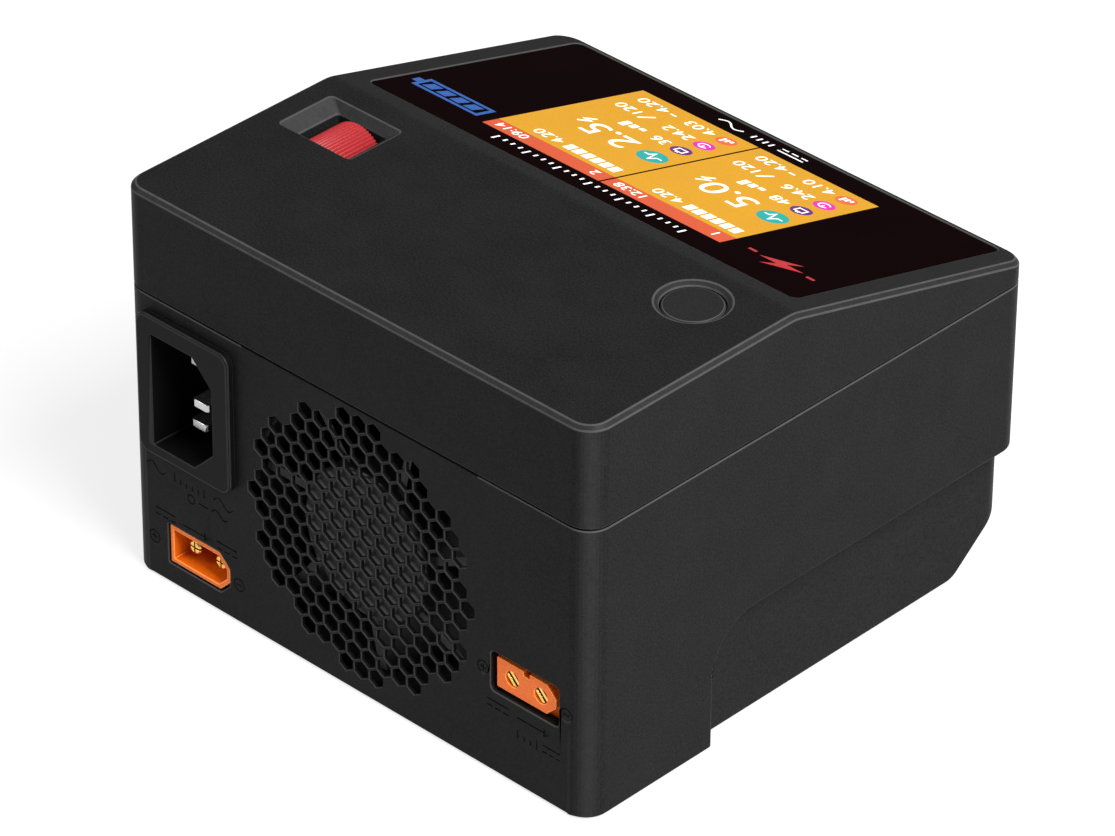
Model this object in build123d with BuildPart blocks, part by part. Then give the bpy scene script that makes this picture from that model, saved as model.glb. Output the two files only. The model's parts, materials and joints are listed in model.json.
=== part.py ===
"""Two-channel balance battery charger, built as an assembly of separate pieces.

Millimetres, +Z up. The origin is at the bottom centre of the whole charger's box.
The user stands on the -Y side and reads the sloping display. The mains inlet, the
DC sockets and the fan are on the +Y side.
"""
from build123d import *
from math import cos, hypot, radians, sin, tan
import os

os.makedirs("parts", exist_ok=True)

# ---------------------------------------------------------------- driving dimensions
# Casing
width = 120.0
depth = 119.0
wall = 2.4
corner_r = 5.0
foot_stand = 0.5          # how far the rubber feet hold the case off the table
seam_z = 63.8             # joint between the case and the cover
seam_gap = 0.44
seam_depth = 0.8
top_z = 85.7
slope_run = 65.5          # from the front face to the ridge where the display slope starts
slope_angle = 15.25
ridge_r = 10.0
edge_cut = 0.9            # bevel round the cover's top
lip_drop = 2.5            # tongue of the cover inside the case
lip_rise = 1.5
lip_wall = 1.2
lip_gap = 0.12
tongue_stop = 4.0         # from the control board to where the tongue starts again
overhang_r = 0.8

# Narrow foot under the front of the case
step_in = 3.5
step_z = 26.6
step_back = 33.5          # from the back face to the step
step_r = 11.0
toe_height = 11.5
toe_length = 14.2
toe_r = 5.0

# Mains inlet
mouth_w, mouth_h = 16.2, 24.7
mouth_cut = 5.1
mouth_side = 16.9         # from the side of the case to the mouth's middle
mouth_z = 44.3
flange_proud = 1.7
flange_side, flange_end = 4.2, 3.15   # how far the flange runs past the mouth
flange_r = 2.5
flange_shift_x, flange_shift_z = -0.2, 0.8
flange_cut = 0.3
inlet_wall = 1.6
inlet_length = 20.0
mouth_depth = 16.5
blade_w, blade_t = 4.2, 1.6
blade_spread = 7.0        # live and neutral, above and below the middle
line_shift = 0.8          # live and neutral, away from the cut corners
earth_shift = -2.3
earth_tip = 2.6           # tips below the flange's face
line_tip = 5.0
tip_cut = 0.5
tag_length = 4.0
lead_r = 1.1
mains_lead_bend = 2.6
mains_lead_drops = (4.0, 8.0, 12.0)   # earth, live and neutral, from the tags to where each turns down

# DC sockets
pin_pitch = 7.2
pin_r = 1.55
pin_root_r = 1.8          # inside the shell's block
plug_w, plug_h = 16.2, 8.4
plug_cut = 2.7
plug_wall = 0.9
plug_length = 16.0
plug_depth = 11.0
plug_sink = 0.3
plug_gap = 0.35
pin_sink = 1.9
pin_tip_cut = 0.35
pin_slot, pin_slot_depth = 0.35, 4.4
pin_tail = 3.0            # behind the shell
pin_tag_w, pin_tag_l, pin_tag_t = 2.4, 9.0, 0.8
pin_tag_start = 1.0       # behind the shell's back
dc_in_side, dc_in_z = 18.7, 9.5       # from the side of the case
socket_w, socket_h = 14.8, 6.5
socket_cut = 2.3
socket_sink = 0.5
socket_hole_r = 1.65
socket_notch_w, socket_notch_h, socket_notch_l = 1.5, 2.2, 3.9
dc_out_side, dc_out_z = 15.8, 22.9
bay_w, bay_h = 17.2, 8.9
bay_r = 1.2
collar = 1.6              # inner flange that holds a socket against the wall
fork_sink = 0.3
fork_length = 8.0
fork_w, fork_slot, fork_gap = 1.9, 0.6, 0.1
fork_tail = 2.0
dc_out_lead_bend = 2.0
dc_out_lead_inset = 1.4

# Fan and grille
fan_x = -2.0
fan_floor_gap = 0.2       # under the frame
fan_size = 60.0
fan_depth = 15.0
fan_corner_r = 3.0
fan_rim = 1.4             # thinnest part of the frame round its bore
fan_hole_edge = 5.0
fan_hole_r = 2.2
hub_r = 15.9
hub_wall = 1.2
hub_front_t, hub_shaft_start = 2.0, 1.0
hub_edge_r = 0.8
vane_gap = 0.6            # vane tips to the bore
vane_count = 7
vane_t, vane_pitch = 1.5, 38
vane_back, vane_front = 1.2, 3.4
strut_t, strut_w = 2.0, 3.0
strut_root = 1.0          # how far a strut runs into the frame
frame_hub_in = 0.4        # frame's middle disc, in from the hub
hub_strut_gap = 1.0       # rotor's hub to the struts
bearing_bore_past = 0.4
bearing_r, bearing_back = 4.0, 10.0
shaft_r = 1.5
shaft_clear = 1.0
run_gap = 0.05
stator_t, stator_gap = 6.0, 2.4
stator_drop = 0.4         # below the bearing's end
stator_slot_r, stator_slot_in = 1.5, 6.0
hex_pitch = 3.96
hex_flats = 3.4
hex_slack = 0.05          # of a pitch, so that the outermost holes stay in
hex_border = 2.0          # from the fan's edge to the outermost holes' middles, at least
grille_t = 0.9
grille_side = 0.3         # how far the panel runs past the fan
pocket_gap = 0.1
screw_cover = 0.5         # wall left over the fan's screws
hub_gap = 0.55            # hub to the grille's inner face

# Controls
button_side = 16.4
button_back = 43.8
button_r = 5.95
button_gap = 0.25
button_rim = 1.05
button_sink = 0.7
button_edge = 0.3
cap_h = 3.4
cap_flange_w, cap_flange_t, cap_flange_drop = 1.2, 1.1, 0.3
cap_stem_r = 2.5
wheel_side = 15.65
wheel_back = 41.35
wheel_r = 7.0
wheel_length = 10.6
wheel_sink = 1.2
well_w, well_l = 18.9, 13.9
well_back = 41.75
slot_w, slot_l = 13.0, 12.4
slot_depth = 2.2
well_r, slot_r = 1.0, 0.8
well_floor_t = 3.1
axle_r = 1.2
wheel_edge = 0.5
cheek_t = 1.2
cheek_gap = 0.4
cheek_w, cheek_top = 7.0, 2.5
cradle_w, cradle_t = 14.0, 1.2
encoder_w, encoder_t, encoder_h = 6.0, 2.2, 11.0
switch_size, switch_h = 6.2, 3.6
switch_bore_r = 1.8
switch_base = 1.0
switch_edge = 0.5
plunger_r = 1.7
plunger_start = 2.0       # above the control board
plunger_top = 68.8

# Display
glass_side, glass_l = 5.7, 60.0   # side: from the glass to the side of the cover
glass_t = 1.1
glass_r = 1.7
glass_gap = 0.15
glass_sink = 0.1
glass_down = 35.8         # ridge to the glass's middle, along the slope
lcd_w, lcd_l, lcd_t = 66.0, 51.0, 2.8
window_gap = 0.4

# Boards and fasteners
board_t = 1.6
board_r = 2.0
standoff_h = 5.1
main_side = 9.0
main_toe_gap = 0.6        # to the sloping wall of the toe, at the board's underside
main_fan_gap = 0.05       # to the heads of the fan's screws
control_z = 62.4
control_side = 8.5
control_back, control_l = 24.65, 26.0
control_corner = 4.0
control_post_x, control_post_in = 30.0, 4.0
control_post_hole = 6.0
control_screw_short = 1.0   # hole left past the screw's end
display_board_w, display_board_l, display_board_t = 84.0, 56.0, 1.2
display_post_r, display_screw_r, display_head_r, display_head_h = 2.4, 1.0, 1.9, 1.4
display_screw_grip = 2.0
board_post_in = 4.0       # from the display board's edges to its screws
output_board_side = 11.0
output_board_low, output_board_high = 14.0, 44.0
output_board_back = 14.35  # behind the front face
screw_r = 1.5
screw_gap = 0.2
head_r, head_h = 2.8, 2.2
post_r = 3.5
post_side, post_back, post_front = 11.0, 28.65, 20.35
post_z = 40.0
post_web = 10.0           # solid top of a boss, above the screw head
case_screw_grip = 10.0
board_screw_grip = 4.0
post_hole = 12.0
post_clear = 0.5          # round a boss, in the control board and the sheet
main_post_clear = 0.6     # round a boss, in the main board
standoff_side, standoff_front, standoff_rear = 7.0, 20.0, 25.0   # from the main board's edges
screw_end = 0.7           # grille wall past the tips of the fan's screws
fit_gap = 0.2
cut_past = 1.0            # how far a cut runs past the face that it comes out of
overcut = 0.1             # how far a short cut starts outside its wall
sliver = 0.01             # overlap that keeps a cut from leaving a skin
near = 0.1                # how close an edge lies to the place that it is picked by
root = 0.5                # how far a boss starts inside the floor it stands on
foot_r, foot_t = 5.0, 1.5
foot_side, foot_front, foot_back = 14.0, 38.35, 12.65
foot_edge = 0.4
air_slot_l, air_slot_w = 20.0, 2.4
air_slot_pitch, air_row_pitch = 7.0, 26.0
air_slot_count = 9
sheet_t, sheet_side, sheet_end, sheet_shift = 0.4, 7.0, 6.0, 2.0
sheet_clear = 1.0

# Parts on the main board. Places are from its rear edge, or from its sides
core_x, core_back = -20.0, 49.0
core_w, core_l, core_h = 34.0, 14.0, 30.0
core_lift = 1.0
core_window_x, core_window_w, core_yoke = 9.0, 7.0, 5.0
winding_w, winding_over, winding_r = 24.4, 12.0, 5.0
winding_end = 5.4
capacitor_x, capacitor_back = (14.0, 34.0), 45.0
capacitor_r, capacitor_h, capacitor_edge = 8.5, 34.0, 0.8
inductor_x, inductor_back = (-30.0, -4.0, 22.0), 70.0
inductor_r, inductor_wire_r = 8.5, 4.0
sink_back, sink_w, sink_l, sink_h, sink_base = 15.0, 56.0, 20.0, 32.0, 5.0
fin_t, fin_pitch, fin_count = 1.8, 6.0, 10
transistor_x, transistor_back = (-24.0, -12.0, 12.0, 24.0), 27.4
transistor_w, transistor_t, transistor_h = 10.0, 4.4, 15.0
leg_w, leg_t, leg_h, leg_pitch = 0.8, 0.5, 3.0, 2.5
choke_side, choke_back = 7.0, 39.0
choke_w, choke_l, choke_h, choke_edge = 13.0, 18.0, 19.0, 1.5
fuse_side, fuse_back, fuse_r, fuse_l = 4.0, 43.0, 2.5, 18.0
fuse_lift = 0.5

# Ribbons
ribbon_t = 0.6
ribbon_gap = 0.2
display_ribbon_w, display_ribbon_down = 16.0, 52.0
control_ribbon_w, control_ribbon_down = 14.0, 12.0
control_ribbon_start, control_ribbon_rise, control_ribbon_bend = 2.0, 6.0, 2.6

# Output sockets in the front face
output_side, output_z = 22.0, 22.0
output_bore_r, output_tube_t, output_bore_l = 1.75, 0.4, 11.0
balance_x = 14.0
balance_ways = 7
balance_pitch = 2.5
balance_pin, balance_pin_l = 0.64, 6.0
balance_h, balance_end = 5.8, 1.2
balance_wall, balance_deep = 0.8, 8.0
balance_key, balance_key_x = 2.0, 5.0
usb_z = 36.0
usb_w, usb_h, usb_wall = 13.1, 5.7, 0.4
usb_sink, usb_back_t = 0.2, 1.0
usb_tongue_up, usb_tongue_t, usb_tongue_l, usb_tongue_side = 0.9, 1.8, 9.0, 1.0

# ---------------------------------------------------------------- worked out from the above
half_w = width / 2
back_y = (depth - flange_proud) / 2
front_y = back_y - depth
mid_y = (back_y + front_y) / 2
inner_back = back_y - wall
inner_front = front_y + wall
ridge_y = front_y + slope_run
step_y = back_y - step_back
base_z = foot_stand
floor_z = base_z + wall
slope = radians(slope_angle)
face_y = back_y + flange_proud
mouth_x = half_w - mouth_side
flange_x, flange_z = mouth_x + flange_shift_x, mouth_z + flange_shift_z
flange_w, flange_h = mouth_w + 2 * flange_side, mouth_h + 2 * flange_end
dc_in_x = half_w - dc_in_side
dc_out_x = dc_out_side - half_w
output_x = half_w - output_side
button_x = button_side - half_w
button_y = back_y - button_back
wheel_x = half_w - wheel_side
wheel_y = back_y - wheel_back
wheel_z = top_z - wheel_sink - wheel_r
well_y = back_y - well_back
fan_back = inner_back
fan_front = fan_back - fan_depth
fan_z = floor_z + fan_floor_gap + fan_size / 2
fan_bore_r = fan_size / 2 - fan_rim
fan_hole_pitch = fan_size - 2 * fan_hole_edge
vane_tip_r = fan_bore_r - vane_gap
grille_w = fan_size + 2 * grille_side
hex_reach = int((fan_size / 2 - hex_border) / hex_pitch)   # holes from the middle to the edge
glass_w = width - 2 * glass_side
control_half = half_w - control_side
control_rear = back_y - control_back
control_front = control_rear - control_l
control_top = control_z + board_t
main_half = half_w - main_side
main_z = floor_z + standoff_h
main_top = main_z + board_t
toe_run = toe_length * (1 - (main_z - base_z) / toe_height)   # the toe's slope at the height of the board
toe_wall = wall * hypot(toe_length, toe_height) / toe_height
main_front = front_y + toe_run + toe_wall + main_toe_gap
main_rear = fan_front - head_h - main_fan_gap
output_board_y = front_y + output_board_back
ceiling = top_z - wall
fork_span = 4 * pin_r     # longer than the contact is wide
notch_w = 2 * (post_r + main_post_clear)   # notches that let the bosses pass the main board
notch_l = 2 * post_r + main_post_clear
notch_shift = notch_l / 2 + overcut
balance_w = balance_ways * balance_pitch + 2 * balance_end
CENTRE_LOW = (Align.CENTER, Align.CENTER, Align.MIN)
CENTRE_HIGH = (Align.CENTER, Align.CENTER, Align.MAX)
post_x = half_w - post_side
post_places = [(x, y) for x in (-post_x, post_x) for y in (front_y + post_front, back_y - post_back)]
slope_plane = Plane(origin=(0, ridge_y, top_z), x_dir=(1, 0, 0), z_dir=(0, -sin(slope), cos(slope)))


def upright(y):
    """Plane facing -Y at this y, drawn in X and Z. Extruding by a positive amount goes towards -Y."""
    return Plane.XZ.offset(-y)


def keyed(w, h, cut, x, z):
    """Socket outline whose two corners on the -X side are cut off."""
    left, right = x - w / 2, x + w / 2
    low, high = z - h / 2, z + h / 2
    Polygon(
        (left + cut, high), (left, high - cut), (left, low + cut), (left + cut, low),
        (right, low), (right, high), align=None,
    )


# ---------------------------------------------------------------- casing forms
def block(inset, low, high, half):
    """Upright block with rounded corners, drawn in from the case's outside by inset."""
    with BuildPart() as form:
        with BuildSketch(Plane.XY.offset(low)):
            with Locations((0, mid_y)):
                RectangleRounded(2 * (half - inset), depth - 2 * inset, corner_r - inset)
        extrude(amount=high - low)
    return form.part


def case_form(inset, high):
    """Lower body with its narrow foot in front, drawn in from the outside by inset."""
    low = base_z + inset
    shelf = step_z + inset
    toe_slant = hypot(toe_length, toe_height)
    toe_share = 1 - inset * (toe_length + toe_height - toe_slant) / (toe_length * toe_height)
    front = front_y + inset
    with BuildPart() as foot:
        add(block(inset, low, shelf + wall, half_w - step_in))
        with BuildSketch(Plane.YZ) as toe:
            Polygon(
                (front, shelf + 2 * wall), (back_y, shelf + 2 * wall), (back_y, low),
                (front + toe_length * toe_share, low), (front, low + toe_height * toe_share), align=None,
            )
            knees = toe.vertices().sort_by(Axis.X)[:3].sort_by(Axis.Y)[:2]
            fillet(knees, toe_r - inset)
        extrude(amount=half_w, both=True, mode=Mode.INTERSECT)
    with BuildPart() as form:
        add(block(inset, low, high, half_w))
        with BuildSketch(Plane.YZ) as step:
            Polygon(
                (front_y - wall, low - wall), (step_y + inset, low - wall),
                (step_y + inset, shelf), (front_y - wall, shelf), align=None,
            )
            fillet(step.vertices().group_by(Axis.Y)[-1].sort_by(Axis.X)[-1], step_r + inset)
        extrude(amount=half_w + wall, both=True, mode=Mode.SUBTRACT)
        add(foot.part)
    return form.part


def cover_form(inset, low):
    """Upper body with a flat top and the display slope, drawn in from the outside by inset."""
    high = top_z - inset
    ridge = ridge_y + inset * tan(slope / 2)
    front = front_y + inset
    with BuildPart() as form:
        with BuildSketch(Plane.YZ) as side:
            Polygon(
                (back_y - inset, low), (back_y - inset, high), (ridge, high),
                (front, high - (ridge - front) * tan(slope)), (front, low), align=None,
            )
            fillet(side.vertices().sort_by_distance((ridge, high))[0], ridge_r - inset)
        extrude(amount=half_w - inset, both=True)
        add(block(inset, low, top_z, half_w), mode=Mode.INTERSECT)
    return form.part


def seam_ring():
    """Shadow gap round the joint between the case and the cover."""
    with BuildPart() as ring:
        add(block(-1, seam_z - seam_gap / 2, seam_z + seam_gap / 2, half_w))
        add(block(seam_depth, seam_z - seam_gap, seam_z + seam_gap, half_w), mode=Mode.SUBTRACT)
    return ring.part


# ---------------------------------------------------------------- bottom case
standoffs = [
    (side * (main_half - standoff_side), y) for side in (-1, 1)
    for y in (main_front + standoff_front, main_rear - standoff_rear)
]
foot_places = [
    (side * (half_w - foot_side), y) for side in (-1, 1) for y in (front_y + foot_front, back_y - foot_back)
]

with BuildPart() as bottom_case:
    add(case_form(0, seam_z))
    overhang = bottom_case.edges().filter_by_position(Axis.Z, step_z - sliver, step_z + sliver)
    outer = overhang.filter_by(lambda e: max(e.bounding_box().max.X, -e.bounding_box().min.X) > half_w - near)
    fillet(outer, overhang_r)
    add(case_form(wall, seam_z + wall), mode=Mode.SUBTRACT)
    add(seam_ring(), mode=Mode.SUBTRACT)
    # bosses for the long case screws, and standoffs for the main board
    with BuildSketch(Plane.XY.offset(floor_z - root)):
        with Locations(*post_places):
            Circle(post_r)
    extrude(amount=post_z - floor_z + root)
    with BuildSketch(Plane.XY.offset(floor_z - root)):
        with Locations(*standoffs):
            Circle(head_r)
    extrude(amount=main_z - floor_z + root)
    with Locations(*[(x, y, base_z) for x, y in post_places]):
        Cylinder(screw_r + screw_gap, post_z, align=CENTRE_LOW, mode=Mode.SUBTRACT)
        Cylinder(head_r + screw_gap, post_z - post_web - base_z, align=CENTRE_LOW, mode=Mode.SUBTRACT)
    with Locations(*[(x, y, main_z) for x, y in standoffs]):
        Cylinder(screw_r, main_z - floor_z, align=CENTRE_HIGH, mode=Mode.SUBTRACT)
    # seats for the rubber feet
    with Locations(*[(x, y, base_z) for x, y in foot_places]):
        Cylinder(foot_r, foot_t - foot_stand, align=CENTRE_LOW, mode=Mode.SUBTRACT)
    # air slots in the floor
    with BuildSketch(Plane.XY.offset(floor_z)):
        with GridLocations(air_slot_pitch, air_row_pitch, air_slot_count, 2):
            SlotOverall(air_slot_l, air_slot_w, rotation=90)
    extrude(amount=-wall - cut_past, mode=Mode.SUBTRACT)
    # back wall: place for the grille panel, mains inlet, DC input and DC output
    with BuildSketch(upright(back_y)):
        with Locations((fan_x, (floor_z + seam_z) / 2)):
            Rectangle(grille_w, seam_z - floor_z)
        inlet_gap = inlet_wall + fit_gap
        keyed(mouth_w + 2 * inlet_gap, mouth_h + 2 * inlet_gap, mouth_cut, mouth_x, mouth_z)
        keyed(plug_w + 2 * plug_gap, plug_h + 2 * plug_gap, plug_cut, dc_in_x, dc_in_z)
        with Locations((dc_out_x, dc_out_z)):
            RectangleRounded(bay_w, bay_h, bay_r)
    extrude(amount=wall + sliver, mode=Mode.SUBTRACT)
    # front wall: two outputs, two balance sockets and the data port
    with BuildSketch(upright(front_y)):
        with Locations((-output_x, output_z), (output_x, output_z)):
            RectangleRounded(bay_w, bay_h, bay_r)
        with Locations((-balance_x, output_z), (balance_x, output_z)):
            Rectangle(balance_w + fit_gap, balance_h + fit_gap)
        with Locations((0, usb_z)):
            Rectangle(usb_w + fit_gap, usb_h + fit_gap)
    extrude(amount=-wall - sliver, mode=Mode.SUBTRACT)

with BuildPart() as fan_grille:
    with BuildSketch(upright(back_y)):
        with Locations((fan_x, (floor_z + seam_z) / 2)):
            Rectangle(grille_w, seam_z - floor_z)
    extrude(amount=wall)
    add(seam_ring(), mode=Mode.SUBTRACT)
    with BuildSketch(upright(inner_back)):
        with Locations((fan_x, fan_z)):
            Circle(fan_size / 2 - pocket_gap)
    extrude(amount=-(wall - grille_t), mode=Mode.SUBTRACT)
    hole_places = []
    for row in range(-hex_reach - 1, hex_reach + 2):
        for column in range(-hex_reach, hex_reach + 1):
            x = (column + row % 2 / 2) * hex_pitch
            z = row * hex_pitch * cos(radians(30))
            if hypot(x, z) < (hex_reach + hex_slack) * hex_pitch:
                hole_places.append((fan_x + x, fan_z + z))
    with BuildSketch(upright(back_y)):
        with Locations(*hole_places):
            RegularPolygon(hex_flats / 2, 6, major_radius=False, rotation=30)
    extrude(amount=wall, mode=Mode.SUBTRACT)
    with BuildSketch(upright(inner_back)):
        with Locations((fan_x, fan_z)):
            with GridLocations(fan_hole_pitch, fan_hole_pitch, 2, 2):
                Circle(screw_r)
    extrude(amount=-(wall - screw_cover), mode=Mode.SUBTRACT)

with BuildPart() as rubber_feet:
    with Locations(*[(x, y, 0) for x, y in foot_places]):
        Cylinder(foot_r, foot_t, align=CENTRE_LOW)
    chamfer(rubber_feet.edges().group_by(Axis.Z)[0], foot_edge)

# ---------------------------------------------------------------- top cover
control_posts = [
    (x, y) for x in (-control_post_x, control_post_x)
    for y in (control_front + control_post_in, control_rear - control_post_in)
]
board_posts = [
    (a * (display_board_w / 2 - board_post_in), b * (display_board_l / 2 - board_post_in) - glass_down)
    for a in (-1, 1) for b in (-1, 1)
]

with BuildPart() as top_cover:
    add(cover_form(0, seam_z))
    rim = top_cover.faces().filter_by(Axis.Z).sort_by(Axis.Z)[-1].edges()
    beyond_ridge = rim.filter_by(lambda e: abs(e.center().Y - ridge_y) > ridge_r / 2 or abs(e.center().X) > 1)
    chamfer(beyond_ridge, edge_cut)
    add(cover_form(wall, seam_z - cut_past), mode=Mode.SUBTRACT)
    # tongue that drops inside the case, left out along the back wall
    with BuildPart(mode=Mode.PRIVATE) as tongue:
        add(block(wall + lip_gap, seam_z - lip_drop, seam_z, half_w))
        add(block(wall - fit_gap, seam_z, seam_z + lip_rise, half_w))
        add(block(wall + lip_gap + lip_wall, 0, top_z, half_w), mode=Mode.SUBTRACT)
        with Locations((0, inner_back, seam_z)):
            gap_l = 2 * (inner_back - control_rear - tongue_stop)
            Box(width, gap_l, 2 * lip_drop + cut_past, mode=Mode.SUBTRACT)
    add(tongue.part)
    add(seam_ring(), mode=Mode.SUBTRACT)
    # screw posts, down to the bosses of the case
    with BuildPart(mode=Mode.PRIVATE) as posts:
        with Locations(*[(x, y, post_z) for x, y in post_places]):
            Cylinder(post_r, top_z - post_z, align=CENTRE_LOW)
        add(cover_form(wall / 2, 0), mode=Mode.INTERSECT)
    add(posts.part)
    with Locations(*[(x, y, post_z) for x, y in post_places]):
        Cylinder(screw_r, post_hole, align=CENTRE_LOW, mode=Mode.SUBTRACT)
    with Locations(*[(x, y, control_top) for x, y in control_posts]):
        Cylinder(head_r, ceiling - control_top + root, align=CENTRE_LOW)
        Cylinder(screw_r, control_post_hole, align=CENTRE_LOW, mode=Mode.SUBTRACT)
    # finger well and slot for the scroll wheel
    with BuildSketch(Plane.XY.offset(ceiling + root)):
        with Locations((wheel_x, well_y)):
            Rectangle(well_w + 2 * well_r, well_l + 3 * well_r)
    extrude(amount=-well_floor_t)
    with BuildSketch(Plane.XY.offset(top_z)):
        with Locations((wheel_x, well_y)):
            RectangleRounded(well_w, well_l, well_r)
    with BuildSketch(Plane.XY.offset(top_z - slot_depth)):
        with Locations((wheel_x, wheel_y)):
            RectangleRounded(slot_w, slot_l, slot_r)
    loft(mode=Mode.SUBTRACT)
    with BuildSketch(Plane.XY.offset(top_z - slot_depth)):
        with Locations((wheel_x, wheel_y)):
            RectangleRounded(slot_w, slot_l, slot_r)
    extrude(amount=-well_floor_t - cut_past, mode=Mode.SUBTRACT)
    # button hole with its tapered rim
    with Locations((button_x, button_y, top_z - button_sink)):
        Cone(
            button_r + button_gap, button_r + button_gap + button_rim, button_sink,
            align=CENTRE_LOW, mode=Mode.SUBTRACT,
        )
    with Locations((button_x, button_y, ceiling - overcut)):
        Cylinder(button_r + button_gap, wall, align=CENTRE_LOW, mode=Mode.SUBTRACT)
    # pocket for the glass, window for the panel behind it, posts for its board
    with BuildSketch(slope_plane):
        with Locations((0, -glass_down)):
            RectangleRounded(glass_w + 2 * glass_gap, glass_l + 2 * glass_gap, glass_r + glass_gap)
    extrude(amount=-(glass_t + glass_sink), mode=Mode.SUBTRACT)
    with BuildSketch(slope_plane):
        with Locations((0, -glass_down)):
            Rectangle(lcd_w + 2 * window_gap, lcd_l + 2 * window_gap)
    extrude(amount=-2 * wall, mode=Mode.SUBTRACT)
    with BuildSketch(slope_plane.offset(-glass_t - glass_sink - lcd_t)):
        with Locations(*board_posts):
            Circle(display_post_r)
    extrude(amount=lcd_t + glass_t + glass_sink - wall + root)
    with BuildSketch(slope_plane.offset(-glass_t - glass_sink - lcd_t)):
        with Locations(*board_posts):
            Circle(display_screw_r)
    extrude(amount=display_screw_grip + fit_gap, mode=Mode.SUBTRACT)

# ---------------------------------------------------------------- display
with BuildPart() as display_glass:
    with BuildSketch(slope_plane.offset(-glass_sink)):
        with Locations((0, -glass_down)):
            RectangleRounded(glass_w, glass_l, glass_r)
    extrude(amount=-glass_t)

glass_back = slope_plane.offset(-glass_sink - glass_t)
with BuildPart() as lcd_panel:
    with BuildSketch(glass_back):
        with Locations((0, -glass_down)):
            Rectangle(lcd_w, lcd_l)
    extrude(amount=-lcd_t)

panel_back = glass_back.offset(-lcd_t)
with BuildPart() as display_board:
    with BuildSketch(panel_back):
        with Locations((0, -glass_down)):
            RectangleRounded(display_board_w, display_board_l, board_r)
        with Locations(*board_posts):
            Circle(display_screw_r + screw_gap, mode=Mode.SUBTRACT)
    extrude(amount=-display_board_t)

with BuildPart() as display_screws:
    with BuildSketch(panel_back.offset(-display_board_t)):
        with Locations(*board_posts):
            Circle(display_head_r)
    extrude(amount=-display_head_h)
    with BuildSketch(panel_back.offset(-display_board_t)):
        with Locations(*board_posts):
            Circle(display_screw_r)
    extrude(amount=display_board_t + display_screw_grip)

# ---------------------------------------------------------------- controls
with BuildPart() as control_board:
    with BuildSketch(Plane.XY.offset(control_z)):
        with Locations((0, (control_front + control_rear) / 2)):
            RectangleRounded(2 * control_half, control_rear - control_front, board_r)
        with Locations(*post_places):
            Circle(post_r + post_clear, mode=Mode.SUBTRACT)
        with Locations((-control_half, control_rear), (control_half, control_rear)):
            Rectangle(2 * control_corner, 2 * control_corner, mode=Mode.SUBTRACT)
        with Locations(*control_posts):
            Circle(screw_r + screw_gap, mode=Mode.SUBTRACT)
    extrude(amount=board_t)

with BuildPart() as control_screws:
    with Locations(*[(x, y, control_z) for x, y in control_posts]):
        Cylinder(head_r, head_h, align=CENTRE_HIGH)
        Cylinder(screw_r, board_t + control_post_hole - control_screw_short, align=CENTRE_LOW)


def switch(x, y):
    """Square push switch on the control board, bored for its plunger."""
    with BuildPart() as body:
        with Locations((x, y, control_top)):
            Box(switch_size, switch_size, switch_h, align=CENTRE_LOW)
            with Locations((0, 0, switch_base)):
                Cylinder(switch_bore_r, switch_h, align=CENTRE_LOW, mode=Mode.SUBTRACT)
        chamfer(body.edges().filter_by(Axis.Z), switch_edge)
    return body


def plunger(x, y):
    """Plunger that stands in a push switch."""
    with BuildPart() as body:
        with Locations((x, y, control_top + plunger_start)):
            Cylinder(plunger_r, plunger_top - control_top - plunger_start, align=CENTRE_LOW)
    return body


button_switch = switch(button_x, button_y)
button_plunger = plunger(button_x, button_y)
wheel_switch = switch(wheel_x, wheel_y)
wheel_plunger = plunger(wheel_x, wheel_y)

with BuildPart() as button_cap:
    with Locations((button_x, button_y, top_z - button_sink)):
        Cylinder(button_r, cap_h, align=CENTRE_HIGH)
    chamfer(button_cap.edges().group_by(Axis.Z)[-1], button_edge)
    with Locations((button_x, button_y, ceiling - cap_flange_drop)):
        Cylinder(button_r + cap_flange_w, cap_flange_t, align=CENTRE_HIGH)
    with Locations((button_x, button_y, plunger_top)):
        Cylinder(cap_stem_r, ceiling - cap_flange_t - plunger_top, align=CENTRE_LOW)

cheek_y = wheel_length / 2 + cheek_gap + cheek_t / 2
cradle_z = plunger_top
with BuildPart() as wheel_cradle:
    with Locations((wheel_x, wheel_y, cradle_z)):
        Box(cradle_w, 2 * cheek_y + cheek_t, cradle_t, align=CENTRE_LOW)
    for side in (-1, 1):
        with Locations((wheel_x, wheel_y + side * cheek_y, cradle_z)):
            Box(cheek_w, cheek_t, wheel_z + cheek_top - cradle_z, align=CENTRE_LOW)
    with BuildSketch(upright(wheel_y)):
        with Locations((wheel_x, wheel_z)):
            Circle(axle_r)
    extrude(amount=cheek_y + cheek_t, both=True, mode=Mode.SUBTRACT)

with BuildPart() as wheel_axle:
    with BuildSketch(upright(wheel_y)):
        with Locations((wheel_x, wheel_z)):
            Circle(axle_r)
    extrude(amount=cheek_y + cheek_t / 2, both=True)

with BuildPart() as scroll_wheel:
    with BuildSketch(upright(wheel_y)):
        with Locations((wheel_x, wheel_z)):
            Circle(wheel_r)
            Circle(axle_r + run_gap, mode=Mode.SUBTRACT)
    extrude(amount=wheel_length / 2, both=True)
    rims = scroll_wheel.edges().filter_by(GeomType.CIRCLE).filter_by(lambda e: e.radius > wheel_r - near)
    chamfer(rims, wheel_edge)

with BuildPart() as wheel_encoder:
    with Locations((wheel_x, wheel_y + cheek_y + (cheek_t + encoder_t) / 2, cradle_z)):
        Box(encoder_w, encoder_t, encoder_h, align=CENTRE_LOW)
    chamfer(wheel_encoder.edges().filter_by(Axis.Y), switch_edge)

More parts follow.
